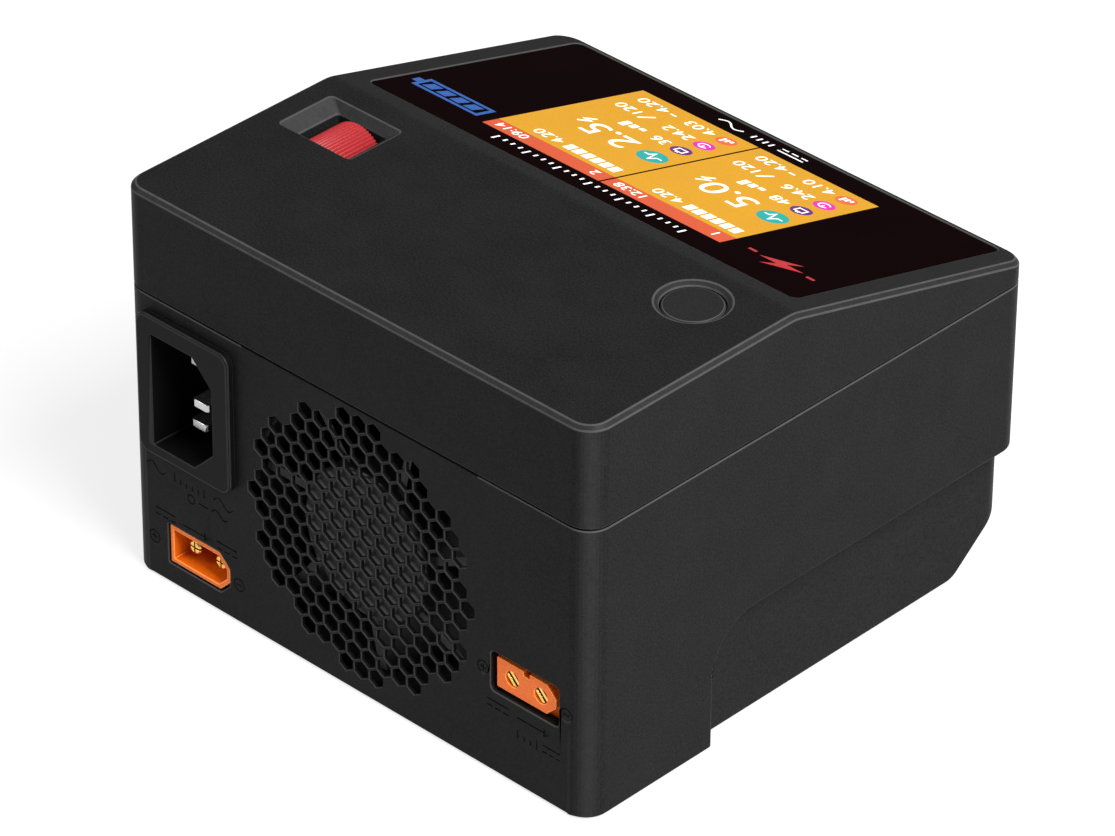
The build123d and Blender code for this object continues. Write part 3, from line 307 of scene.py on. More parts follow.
def wound_copper():
    f = Finish("copper")
    turns = f.node("ShaderNodeTexWave", {"bands_direction": "Z"}, {"Vector": f.place, "Scale": 900.0})["Fac"]
    tone = f.noise(1.5 * MM, 3.0)
    return f.done({
        "Base Color": f.shades(tone, (0.3, tint(150, 78, 34)), (0.7, tint(205, 120, 62))),
        "Metallic": f.between(tone, 0.85, 1.0),
        "Roughness": f.between(turns, 0.28, 0.45),
        "Normal": f.relief(turns, 0.12 * MM),
    })


def fuse_glass():
    f = Finish("fuse_glass")
    ends = abs(f.node("ShaderNodeSeparateXYZ", None, {"Vector": f.place})["Y"] + 4 * MM) > 6 * MM
    haze = f.noise(2 * MM, 3.0)
    return f.done({
        "Base Color": f.blend(ends, tint(214, 226, 226), tint(190, 190, 186)),
        "Metallic": ends * 0.95,
        "Roughness": f.between(haze, 0.06, 0.2),
    })


black, coal = tint(19, 19, 20), tint(30, 30, 31)
# The last, paler tone given to some plastics below is a painted highlight on rounded edges, corners and
# slopes.
FINISHES = {
    "case_plastic": moulded(
        "case_plastic", tint(10, 10, 10), tint(31, 31, 31), (0.4, 0.52), 0.42 * MM, 0.02 * MM, 0.04,
        highlight_tone=tint(66, 66, 66),
    ),
    "inlet_plastic": moulded(
        "inlet_plastic", tint(9, 9, 9), tint(16, 16, 16), (0.34, 0.44), 0.25 * MM, 0.006 * MM, 0.05,
        highlight_tone=tint(44, 44, 44),
    ),
    "button_plastic": moulded(
        "button_plastic", tint(20, 20, 20), tint(33, 33, 33), (0.36, 0.46), 0.3 * MM, 0.008 * MM, 0.05,
        highlight_tone=tint(66, 66, 66),
    ),
    "black_nylon": moulded("black_nylon", black, coal, (0.38, 0.55), 0.4 * MM, 0.01 * MM),
    "orange_nylon": moulded(
        "orange_nylon", tint(206, 82, 6), tint(232, 112, 20), (0.3, 0.42), 0.5 * MM, 0.008 * MM, 0.25,
        highlight_tone=tint(250, 158, 76),
    ),
    "white_nylon": moulded(
        "white_nylon", tint(206, 203, 192), tint(234, 232, 222), (0.36, 0.5), 0.5 * MM, 0.01 * MM,
    ),
    "red_wheel": moulded(
        "red_wheel", tint(112, 22, 27), tint(152, 42, 45), (0.3, 0.42), 0.3 * MM, 0.006 * MM, 0.3,
    ),
    "sheet": moulded("sheet", tint(190, 176, 120), tint(214, 202, 150), (0.4, 0.6), 1.2 * MM, 0.02 * MM),
    "lead_sleeve": moulded(
        "lead_sleeve", tint(120, 16, 18), tint(158, 30, 30), (0.38, 0.5), 0.4 * MM, 0.008 * MM,
    ),
    "ribbon": moulded(
        "ribbon", tint(170, 160, 140), tint(206, 198, 182), (0.4, 0.5), 0.6 * MM, 0.02 * MM,
    ),
    "capacitor_sleeve": moulded(
        "capacitor_sleeve", tint(18, 28, 66), tint(30, 44, 92), (0.25, 0.4), 0.6 * MM,
    ),
    "ferrite": moulded("ferrite", tint(52, 50, 49), tint(78, 75, 72), (0.5, 0.7), 0.3 * MM, 0.03 * MM),
    "gold_contact": metal("gold_contact", tint(214, 158, 62), tint(255, 222, 130), (0.16, 0.3)),
    "bright_steel": metal(
        "bright_steel", tint(160, 161, 163), tint(206, 206, 204), (0.2, 0.34), 0.3 * MM, (1, 0.1, 1),
    ),
    "screw_steel": metal("screw_steel", tint(52, 52, 56), tint(96, 96, 100), (0.3, 0.45)),
    "tin_pins": metal("tin_pins", tint(186, 188, 190), tint(226, 227, 226), (0.22, 0.36)),
    "aluminium": metal(
        "aluminium", tint(172, 174, 177), tint(212, 214, 216), (0.34, 0.5), 0.4 * MM, (1, 0.1, 1),
    ),
    "foot_rubber": rubber(),
    "black_glass": window_glass(),
    "board": board(),
    "copper": wound_copper(),
    "fuse_glass": fuse_glass(),
}
SCREEN = {
    "yellow": lit("screen_yellow", tint(190, 137, 12), 0.27, tint(180, 127, 8)),
    "header": lit("screen_header", tint(180, 70, 36), 0.27),
    "teal": lit("screen_teal", tint(16, 140, 136), 0.34),
    "purple": lit("screen_purple", tint(80, 22, 104), 0.34),
    "magenta": lit("screen_magenta", tint(188, 26, 148), 0.34),
    "coral": lit("screen_coral", tint(204, 84, 48), 0.34),
    "white": lit("screen_white", tint(240, 236, 222), 0.5),
}
INK = {
    "white": printed("white_ink", tint(214, 214, 214), tint(240, 240, 240)),
    "blue": printed("blue_ink", tint(12, 62, 128), tint(20, 76, 146)),
    "red": printed("red_ink", tint(138, 14, 20), tint(158, 24, 28)),
}
slot_of = {part["node"]: part["material_slot"] for part in frame["record"]["subparts"]}
body_of = {node: body for body, nodes in frame["record"]["behaviour"]["bodies"].items() for node in nodes}


# ---------------------------------------------------------------- pieces
def show(name, mesh, body, finish=None, stands_for=()):
    """Puts a finished mesh in the scene as a piece that rides on a body."""
    made = bpy.data.objects.new(name, mesh)
    bpy.context.scene.collection.objects.link(made)
    if finish is not None:
        mesh.materials.clear()
        mesh.materials.append(finish)
    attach(made, body)
    if stands_for:
        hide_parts(*stands_for)
    return made


def settled(obj):
    """An object's mesh with its modifiers worked in. The object itself is removed."""
    bpy.context.view_layer.update()
    graph = bpy.context.evaluated_depsgraph_get()
    evaluated = obj.evaluated_get(graph)
    mesh = bpy.data.meshes.new_from_object(evaluated, preserve_all_data_layers=True, depsgraph=graph)
    bpy.data.objects.remove(obj)
    return mesh


def loose(mesh):
    """A temporary object that holds a mesh while modifiers work on it."""
    obj = bpy.data.objects.new("work", mesh)
    bpy.context.scene.collection.objects.link(obj)
    return obj


def merged(node):
    """A copy of a CAD node's mesh with its triangles joined and its flat sides made whole."""
    form = bmesh.new()
    form.from_mesh(frame["nodes"][node].data)
    bmesh.ops.remove_doubles(form, verts=form.verts, dist=MERGE)
    bmesh.ops.dissolve_limit(form, angle_limit=radians(0.5), verts=form.verts, edges=form.edges)
    mesh = bpy.data.meshes.new(node + "_merged")
    form.to_mesh(mesh)
    form.free()
    return mesh


def softened(mesh, radius, angle=28, spared=None, segments=2):
    """Rounds a mesh's sharp edges by a radius, apart from the edges that spared says yes to."""
    form = bmesh.new()
    form.from_mesh(mesh)
    weights = form.edges.layers.float.new("bevel_weight_edge")
    for edge in form.edges:
        if len(edge.link_faces) == 2 and edge.calc_face_angle() > radians(angle):
            edge[weights] = 0.0 if spared and spared(edge) else 1.0
    for face in form.faces:
        face.smooth = True
    form.to_mesh(mesh)
    form.free()
    mesh.set_sharp_from_angle(angle=radians(angle + 20))
    mesh.materials.clear()
    for _ in range(2):
        mesh.materials.append(None)
    obj = loose(mesh)
    bevel = obj.modifiers.new("edges", "BEVEL")
    bevel.limit_method = "WEIGHT"
    bevel.width = radius
    bevel.segments = segments
    bevel.use_clamp_overlap = False
    bevel.miter_outer = "MITER_ARC"
    bevel.material = 1
    shading = obj.modifiers.new("shading", "WEIGHTED_NORMAL")
    shading.keep_sharp = True
    low, high = [Vector(f(v.co[i] for v in mesh.vertices) for i in range(3)) for f in (min, max)]
    made = settled(obj)
    for vertex in made.vertices:
        vertex.co = [min(max(c, a), b) for c, a, b in zip(vertex.co, low, high)]
    # the narrow faces that the bevel made get a full painted highlight
    paint_highlight(made, lambda face: float(face.material_index))
    for face in made.polygons:
        face.material_index = 0
    return made


def paint_highlight(mesh, share):
    """Writes how pale each face is painted as a highlight, 0 to 1, as a face attribute that the finishes
    read.
    """
    marks = mesh.attributes.get(PAINTED_HIGHLIGHT) or mesh.attributes.new(PAINTED_HIGHLIGHT, "FLOAT", "FACE")
    for face in mesh.polygons:
        marks.data[face.index].value = max(marks.data[face.index].value, share(face))


def corner_highlight(face):
    """Painted highlight on the upright rounded corners of the casing, strongest at the middle of each."""
    x, y, z = face.normal
    at_corner = abs(face.center.x) > case_high.x - CORNER and back_y - face.center.y < CORNER
    return 0.3 * (2 * abs(x * y)) ** 3 if abs(z) < 0.1 and at_corner else 0.0


def refine(node, name, radius, angle=28, spared=None, segments=2, mesh=None):
    """Shows a CAD node as a copy with rounded edges."""
    made = softened(mesh or merged(node), radius, angle, spared, segments)
    slot = slot_of[node]
    return show(name, made, body_of[node], FINISHES[slot], (node,))


def solids(node):
    """Lowest and highest corner of each separate solid in a CAD node, in a steady order."""
    form = bmesh.new()
    form.from_mesh(frame["nodes"][node].data)
    bmesh.ops.remove_doubles(form, verts=form.verts, dist=MERGE)
    unseen, boxes = set(form.verts), []
    while unseen:
        reached = [unseen.pop()]
        places = []
        while reached:
            vert = reached.pop()
            places.append(vert.co.copy())
            for edge in vert.link_edges:
                other = edge.other_vert(vert)
                if other in unseen:
                    unseen.discard(other)
                    reached.append(other)
        low = Vector(min(p[i] for p in places) for i in range(3))
        high = Vector(max(p[i] for p in places) for i in range(3))
        boxes.append((low, high))
    form.free()
    return sorted(boxes, key=lambda b: tuple(round(c, 5) for c in b[0]))


def outer_side(node, towards):
    """Middle and normal of a CAD node's flat side that faces one way."""
    mesh = frame["nodes"][node].data
    sides = [p for p in mesh.polygons if p.normal.dot(towards) > 0.9]
    normal = sum((p.normal * p.area for p in sides), Vector()).normalized()
    places = [mesh.vertices[v].co for p in sides for v in p.vertices]
    low = Vector(min(p[i] for p in places) for i in range(3))
    high = Vector(max(p[i] for p in places) for i in range(3))
    return (low + high) / 2, normal


# ---------------------------------------------------------------- recipes of repeated shapes
class Recipe(Graph):
    """A Geometry Nodes tree with named inputs for its sizes."""

    KINDS = {float: "NodeSocketFloat", int: "NodeSocketInt", tuple: "NodeSocketVector"}

    def __init__(self, name, sizes):
        super().__init__(bpy.data.node_groups.new(name, "GeometryNodeTree"))
        interface = self.tree.interface
        interface.new_socket("Geometry", in_out="OUTPUT", socket_type="NodeSocketGeometry")
        interface.new_socket("Geometry", in_out="INPUT", socket_type="NodeSocketGeometry")
        interface.new_socket("Finish", in_out="INPUT", socket_type="NodeSocketMaterial")
        for key, value in sizes.items():
            interface.new_socket(key, in_out="INPUT", socket_type=self.KINDS[type(value)])
        self.sizes = sizes
        self.given = self.node("NodeGroupInput")

    def size(self, name):
        return self.given[name]

    def vector(self, x=0.0, y=0.0, z=0.0):
        return self.node("ShaderNodeCombineXYZ", None, {"X": x, "Y": y, "Z": z})["Vector"]

    def parts(self, vector):
        made = self.node("ShaderNodeSeparateXYZ", None, {"Vector": vector})
        return made["X"], made["Y"], made["Z"]

    def position(self):
        return self.node("GeometryNodeInputPosition")["Position"]

    def index(self):
        return self.node("GeometryNodeInputIndex")["Index"]

    def cylinder(self, radius, depth, sides=32):
        sockets = {"Vertices": sides, "Radius": radius, "Depth": depth}
        return self.node("GeometryNodeMeshCylinder", None, sockets)["Mesh"]

    def cone(self, low, high, depth, sides=32):
        """Truncated cone from z 0 up."""
        sockets = {"Vertices": sides, "Radius Bottom": low, "Radius Top": high, "Depth": depth}
        return self.node("GeometryNodeMeshCone", None, sockets)["Mesh"]

    def brick(self, x, y, z):
        return self.node("GeometryNodeMeshCube", None, {"Size": self.vector(x, y, z)})["Mesh"]

    def moved(self, geometry, place=(0, 0, 0), turn=(0, 0, 0)):
        sockets = {"Geometry": geometry, "Translation": place, "Rotation": turn}
        return self.node("GeometryNodeTransform", None, sockets)["Geometry"]

    def placed(self, geometry, position):
        sockets = {"Geometry": geometry, "Position": position}
        return self.node("GeometryNodeSetPosition", None, sockets)["Geometry"]

    def copies(self, points, instance):
        sockets = {"Points": points, "Instance": instance}
        return self.node("GeometryNodeInstanceOnPoints", None, sockets)["Instances"]

    def joined(self, *parts):
        made = self.node("GeometryNodeJoinGeometry")
        for part in reversed(parts):
            self.tree.links.new(part.output, made.node.inputs["Geometry"])
        return made["Geometry"]

    def cut(self, body, *tools):
        """The body with the tools taken out of it."""
        settings = {"operation": "DIFFERENCE", "solver": "MANIFOLD"}
        made = self.node("GeometryNodeMeshBoolean", settings, {0: body})
        for tool in tools:
            self.tree.links.new(tool.output, made.node.inputs[1])
        return made["Mesh"]

    def real(self, geometry):
        return self.node("GeometryNodeRealizeInstances", None, {"Geometry": geometry})["Geometry"]

    def baked(self, result, finish, base=None):
        """Works the recipe out on a base mesh and gives a plain mesh."""
        sockets = {"Geometry": self.real(result), "Material": self.given["Finish"]}
        painted = self.node("GeometryNodeSetMaterial", None, sockets)["Geometry"]
        self.node("NodeGroupOutput", None, {"Geometry": painted})
        obj = loose(base or bpy.data.meshes.new("seed"))
        modifier = obj.modifiers.new("recipe", "NODES")
        modifier.node_group = self.tree
        values = dict(self.sizes, Finish=finish)
        for item in self.tree.interface.items_tree:
            if item.in_out == "INPUT" and item.name in values:
                modifier[item.identifier] = values[item.name]
        return settled(obj)


def point_mesh(places):
    mesh = bpy.data.meshes.new("points")
    mesh.from_pydata([tuple(p) for p in places], [], [])
    return mesh


def shaded(mesh, angle=35):
    """Smooth shading that stops at edges sharper than an angle."""
    for polygon in mesh.polygons:
        polygon.use_smooth = True
    mesh.set_sharp_from_angle(angle=radians(angle))
    return mesh


# ---------------------------------------------------------------- flat marks
class Marks:
    """Flat shapes laid on a plane and gathered into one mesh. Places are millimetres on the plane."""

    def __init__(self, plane):
        self.plane = plane
        self.form = bmesh.new()

    def ring_of(self, outline, level):
        return [self.form.verts.new((x * MM, y * MM, level * MM)) for x, y in outline]

    def plate(self, outline, low=0.0, high=0.02):
        """Solid between two levels inside an anticlockwise outline."""
        bottom, top = self.ring_of(outline, low), self.ring_of(outline, high)
        self.form.faces.new(top)
        self.form.faces.new(reversed(bottom))
        for i, corner in enumerate(bottom):
            j = (i + 1) % len(bottom)
            self.form.faces.new((corner, bottom[j], top[j], top[i]))

    def rectangle(self, x, y, w, h, low=0.0, high=0.02):
        self.plate([(x, y), (x + w, y), (x + w, y + h), (x, y + h)], low, high)

    def disc(self, x, y, radius, low=0.0, high=0.02, sides=40):
        turns = [2 * pi * i / sides for i in range(sides)]
        self.plate([(x + radius * cos(t), y + radius * sin(t)) for t in turns], low, high)

    def line(self, points, width, low=0.0, high=0.02, closed=False):
        """Band of even width along points."""
        count = len(points)
        left, right = [], []
        for i, (x, y) in enumerate(points):
            before = Vector(points[i - 1]) if i or closed else None
            after = Vector(points[(i + 1) % count]) if i < count - 1 or closed else None
            here = Vector((x, y))
            ahead = (after - here).normalized() if after is not None else (here - before).normalized()
            behind = (here - before).normalized() if before is not None else ahead
            along = (ahead + behind).normalized()
            side = Vector((-along.y, along.x)) * (width / 2 / max(along.dot(ahead), 0.4))
            left.append(tuple(here + side))
            right.append(tuple(here - side))
        if not closed:
            self.plate(right + left[::-1], low, high)
            return
        rings = [self.ring_of(edge, level) for edge, level in
                 ((right, low), (right, high), (left, high), (left, low))]
        for a in range(4):
            b = (a + 1) % 4
            for i in range(count):
                j = (i + 1) % count
                self.form.faces.new((rings[a][i], rings[a][j], rings[b][j], rings[b][i]))

    def ring(self, x, y, radius, width, low=0.0, high=0.02, sides=36):
        turns = [2 * pi * i / sides for i in range(sides)]
        self.line([(x + radius * cos(t), y + radius * sin(t)) for t in turns], width, low, high, closed=True)

    def wave(self, x, y, length, height, width, low=0.0, high=0.02, periods=1.0, steps=20):
        shares = [i / steps for i in range(steps + 1)]
        points = [(x + length * t, y + height / 2 * sin(2 * pi * periods * t)) for t in shares]
        self.line(points, width, low, high)

    def figures(self, words, x, y, size, low=0.0, high=0.02, align="LEFT"):
        """Numbers, standing on y."""
        curve = bpy.data.curves.new("figures", "FONT")
        curve.body = words
        curve.size = size * MM
        curve.align_x = align
        curve.extrude = (high - low) / 2 * MM
        curve.resolution_u = 6
        mesh = settled(loose(curve))
        mesh.transform(Matrix.Translation((x * MM, y * MM, (low + high) / 2 * MM)))
        self.form.from_mesh(mesh)
        bpy.data.meshes.remove(mesh)

    def mesh(self, name):
        bmesh.ops.remove_doubles(self.form, verts=self.form.verts, dist=MERGE)
        bmesh.ops.recalc_face_normals(self.form, faces=self.form.faces)
        made = bpy.data.meshes.new(name)
        self.form.to_mesh(made)
        self.form.free()
        made.transform(self.plane)
        return made


def plane_at(origin, right, up):
    """Matrix of a plane from its origin and its two directions."""
    out = right.cross(up)
    return Matrix((
        (right.x, up.x, out.x, origin.x), (right.y, up.y, out.y, origin.y),
        (right.z, up.z, out.z, origin.z), (0, 0, 0, 1),
    ))


# ---------------------------------------------------------------- casing
grille_low, grille_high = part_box("fan_grille")
case_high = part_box("bottom_case")[1]
back_y = case_high.y
SEAM_MARGIN = 0.02 * MM
CORNER = 5 * MM


def round_grille_panel(edge):
    """Edges of the hole that the grille panel fills flush, so that no joint shows."""
    middle = (edge.verts[0].co + edge.verts[1].co) / 2
    on_back = middle.y > grille_low.y - SEAM_MARGIN
    beside = min(abs(middle.x - grille_low.x), abs(middle.x - grille_high.x)) < SEAM_MARGIN
    below = abs(middle.z - grille_low.z) < SEAM_MARGIN and grille_low.x < middle.x < grille_high.x
    return on_back and (beside or below)


def polarity(marks, x, y, plus, depth):
    """Ring with a plus or a minus inside."""
    low = -depth
    marks.ring(x, y, 1.35, 0.3, low, 1.0)
    if plus:
        a, b = 0.75, 0.16
        marks.plate([
            (x - a, y - b), (x - b, y - b), (x - b, y - a), (x + b, y - a), (x + b, y - b), (x + a, y - b),
            (x + a, y + b), (x + b, y + b), (x + b, y + a), (x - b, y + a), (x - b, y + b), (x - a, y + b),
        ], low, 1.0)
    else:
        marks.rectangle(x - 0.75, y - 0.16, 1.5, 0.32, low, 1.0)


def direct_current(marks, x, y, w, stroke, low, high):
    """Long bar over three dashes."""
    marks.rectangle(x, y + 0.55, w, stroke, low, high)
    dash = w / 4
    for i in range(3):
        marks.rectangle(x + i * 1.5 * dash, y - 0.55 - stroke, dash, stroke, low, high)


def arrow(marks, x, y, length, stroke, low, high):
    """Shaft with a filled head, pointing right."""
    head = 1.6
    shaft = length - head
    outline = [
        (0, -stroke / 2), (shaft, -stroke / 2), (shaft, -1.0), (length, 0.0),
        (shaft, 1.0), (shaft, stroke / 2), (0, stroke / 2),
    ]
    marks.plate([(x + a, y + b) for a, b in outline], low, high)


def engraved_marks():
    """Cutter for the marks sunk in the back wall: what each socket takes or gives, and its poles."""
    depth = 0.22
    low, high = -depth, 1.0
    marks = Marks(plane_at(Vector((0, back_y, 0)), Vector((-1, 0, 0)), UP))
    stroke = 0.32
    # mains inlet: alternating current between end bars, and a ruled line under it
    marks.wave(-55.0, 25.5, 5.2, 1.9, stroke, low, high)
    marks.wave(-36.8, 25.5, 5.2, 1.9, stroke, low, high)
    for i in range(6):
        marks.rectangle(-47.6 + 1.6 * i, 24.5, stroke, 2.1 if i % 5 == 0 else 1.2, low, high)
    marks.ring(-43.0, 22.6, 0.95, stroke, low, high)
    marks.rectangle(-41.0, 22.45, 2.6, stroke, low, high)
    marks.wave(-37.4, 22.6, 4.4, 1.5, stroke, low, high)
    # DC input: arrow in
    direct_current(marks, -53.0, 15.6, 5.4, stroke, low, high)
    arrow(marks, -45.6, 15.6, 7.4, stroke, low, high)
    direct_current(marks, -36.2, 15.6, 5.4, stroke, low, high)
    polarity(marks, -53.5, 9.2, True, depth)
    polarity(marks, -30.4, 9.1, False, depth)
    # DC output: arrow out
    direct_current(marks, 34.8, 15.6, 5.4, stroke, low, high)
    arrow(marks, 42.4, 15.6, 8.2, stroke, low, high)
    for i in range(4):
        marks.rectangle(42.4 + 1.6 * i, 11.0, stroke, 2.0 if i % 3 == 0 else 1.2, low, high)
    direct_current(marks, 48.8, 12.0, 4.4, stroke, low, high)
    polarity(marks, 33.75, 22.6, True, depth)
    polarity(marks, 54.6, 22.4, False, depth)
    return marks.mesh("engraved_marks")


def engrave(mesh, cutter):
    """Cuts the cutter's shapes out of a mesh."""
    obj, tool = loose(mesh), loose(cutter)
    cut = obj.modifiers.new("engraving", "BOOLEAN")
    cut.operation = "DIFFERENCE"
    cut.solver = "MANIFOLD"
    cut.object = tool
    made = settled(obj)
    bpy.data.objects.remove(tool)
    return made


def small_mark(edge):
    """Edges inside the engraved marks, which stay crisp."""
    middle = (edge.verts[0].co + edge.verts[1].co) / 2
    in_wall = back_y - 0.3 * MM < middle.y < back_y + MERGE
    return in_wall and edge.calc_length() < 9 * MM and in_mark_rows(middle)


def in_mark_rows(middle):
    x, z = abs(middle.x) / MM, middle.z / MM
    outside_sockets = not (32.4 < x < 50.2 and 4.6 < z < 14.2) or (middle.x < 0 and z < 14.2)
    rows = z < 14.0 and (x < 32.3 or x > 51.6) or 10.4 < z < 17.4 or 21.2 < z < 27.0
    return rows and outside_sockets and not (middle.x < 0 and 35.2 < x < 53.2 and z > 18.0)


def bottom_shell():
    mesh = engrave(merged("bottom_case"), engraved_marks())
    shell = refine("bottom_case", "bottom_shell", 0.22 * MM, 28,
                   lambda e: round_grille_panel(e) or small_mark(e), mesh=mesh)
    # painted highlight along the upright corners
    paint_highlight(shell.data, corner_highlight)


def hex_panel():
    """Grille panel: holes on a triangular lattice inside a circle, each with a softened mouth."""
    low, high = grille_low, grille_high
    fan_low, fan_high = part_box("fan_frame")
    centre = (fan_low + fan_high) / 2
    sizes = {
        "Pitch": 3.96 * MM, "Hole": 3.4 * MM, "Reach": 7.05, "Wall": high.y - low.y, "Thin": 0.9 * MM,
        "Pocket": 29.9 * MM, "Mouth": 0.16 * MM, "Width": high.x - low.x, "Height": high.z - low.z,
        "Drop": (low.z + high.z) / 2 - centre.z, "Notch": 0.8 * MM, "Notch Height": 0.22 * MM,
    }
    r = Recipe("hex_panel", sizes)
    pitch, wall = r.size("Pitch"), r.size("Wall")
    row_step = pitch * sqrt(0.75)
    columns, rows = 17, 19
    grid = r.node("GeometryNodeMeshGrid", None, {
        "Size X": pitch * (columns - 1.0), "Size Y": row_step * (rows - 1.0),
        "Vertices X": columns, "Vertices Y": rows,
    })["Mesh"]
    x, y, z = r.parts(r.position())
    row = r.math("ROUND", y / row_step)
    odd = r.math("FLOORED_MODULO", row, 2.0)
    lattice = r.placed(grid, r.vector(x + odd * pitch * 0.5, y, 0.0))
    distance = r.node("ShaderNodeVectorMath", {"operation": "LENGTH"}, {0: r.position()})["Value"]
    outside = distance > pitch * r.size("Reach")
    sockets = {"Geometry": lattice, "Selection": outside}
    kept = r.node("GeometryNodeDeleteGeometry", {"domain": "POINT"}, sockets)["Geometry"]
    # a hole is a six-sided bar along z with a flared end at z 0
    across = r.size("Hole") * (0.5 / cos(pi / 6))
    mouth = r.size("Mouth")
    bar = r.cylinder(across, wall * 3.0, 6)
    flare = r.moved(r.cone(across, across + mouth * 2.4, mouth * 2.0, 6), r.vector(0.0, 0.0, mouth * -1.0))
    notch = r.moved(r.brick(r.size("Width") * 1.1, r.size("Notch Height") * 2.0, r.size("Notch") * 2.0),
                    r.vector(0.0, r.size("Drop") + r.size("Height") * 0.5, 0.0))
    pocket_depth = wall - r.size("Thin")
    pocket = r.moved(r.cylinder(r.size("Pocket"), pocket_depth * 2.0, 96), r.vector(0.0, 0.0, wall * -1.0))
    panel = r.moved(r.brick(r.size("Width"), r.size("Height"), wall),
                    r.vector(0.0, r.size("Drop"), wall * -0.5))
    turned = (0.0, 0.0, pi / 6)
    bars = r.real(r.copies(kept, r.moved(bar, turn=turned)))
    flares = r.real(r.copies(kept, r.moved(flare, turn=turned)))
    result = r.cut(r.cut(r.cut(panel, pocket, notch), flares), bars)
    mesh = r.baked(result, FINISHES["case_plastic"])
    mesh.transform(plane_at(Vector((centre.x, high.y, centre.z)), Vector((-1, 0, 0)), UP))
    # painted highlight on the flared mouths of the holes
    paint_highlight(mesh, lambda face: 0.7 if 0.15 < face.normal.y < 0.95 else 0.0)
    show("hex_grille", shaded(mesh), "housing", None, ("fan_grille",))


def inside_cover(edge):
    """Edges under the flat top that only the inside of the casing sees. They stay as they are."""
    middle = (edge.verts[0].co + edge.verts[1].co) / 2
    wall = grille_high.y - grille_low.y
    cover_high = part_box("top_cover")[1]
    glass_back_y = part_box("display_glass")[1].y
    below = middle.z < cover_high.z - wall + SEAM_MARGIN
    within_x = abs(middle.x) < cover_high.x - wall + SEAM_MARGIN
    within_y = glass_back_y < middle.y < back_y - wall + SEAM_MARGIN
    return below and within_x and within_y


def top_shell():
    """Cover, with painted highlights that make its bevel, the button's rim and the finger well's sloping
    sides paler.
    """
    shell = refine("top_cover", "top_shell", 0.22 * MM, 24, inside_cover)
    wheel_low, wheel_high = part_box("scroll_wheel")
    well = (wheel_low + wheel_high) / 2

    # sloping faces get a painted highlight, stronger near the finger well
    def slope_highlight(face):
        if not 0.1 < face.normal.z < 0.92:
            return 0.0
        return 0.5 if (face.center - well).length < 13 * MM else 0.2

    paint_highlight(shell.data, slope_highlight)
    # painted highlight along the upright corners
    paint_highlight(shell.data, corner_highlight)


# ---------------------------------------------------------------- display
glass_middle, glass_out = outer_side("display_glass", UP)
glass_up = glass_out.cross(Vector((1, 0, 0)))
glass_plane = plane_at(glass_middle, Vector((1, 0, 0)), glass_up)
SCREEN_SHIFT = 0.45                     # the lit area and the print sit a little right of the middle
SCREEN_W, SCREEN_H = 60.7, 46.1
HEADER_H = 4.7
DIVIDER = 0.5
LEVEL = 0.02                            # each layer of the picture lies this much above the last


def layer(name, place, finish):
    """A set of marks on the glass that becomes one piece."""
    marks = Marks(glass_plane)
    place(marks)
    show(name, marks.mesh(name), "housing", finish)


def panel_corners():
    """Left edge and width of the two channels' panels."""
    half = (SCREEN_W - DIVIDER) / 2
    left = SCREEN_SHIFT - SCREEN_W / 2
    return [(left, half), (left + half + DIVIDER, half)]


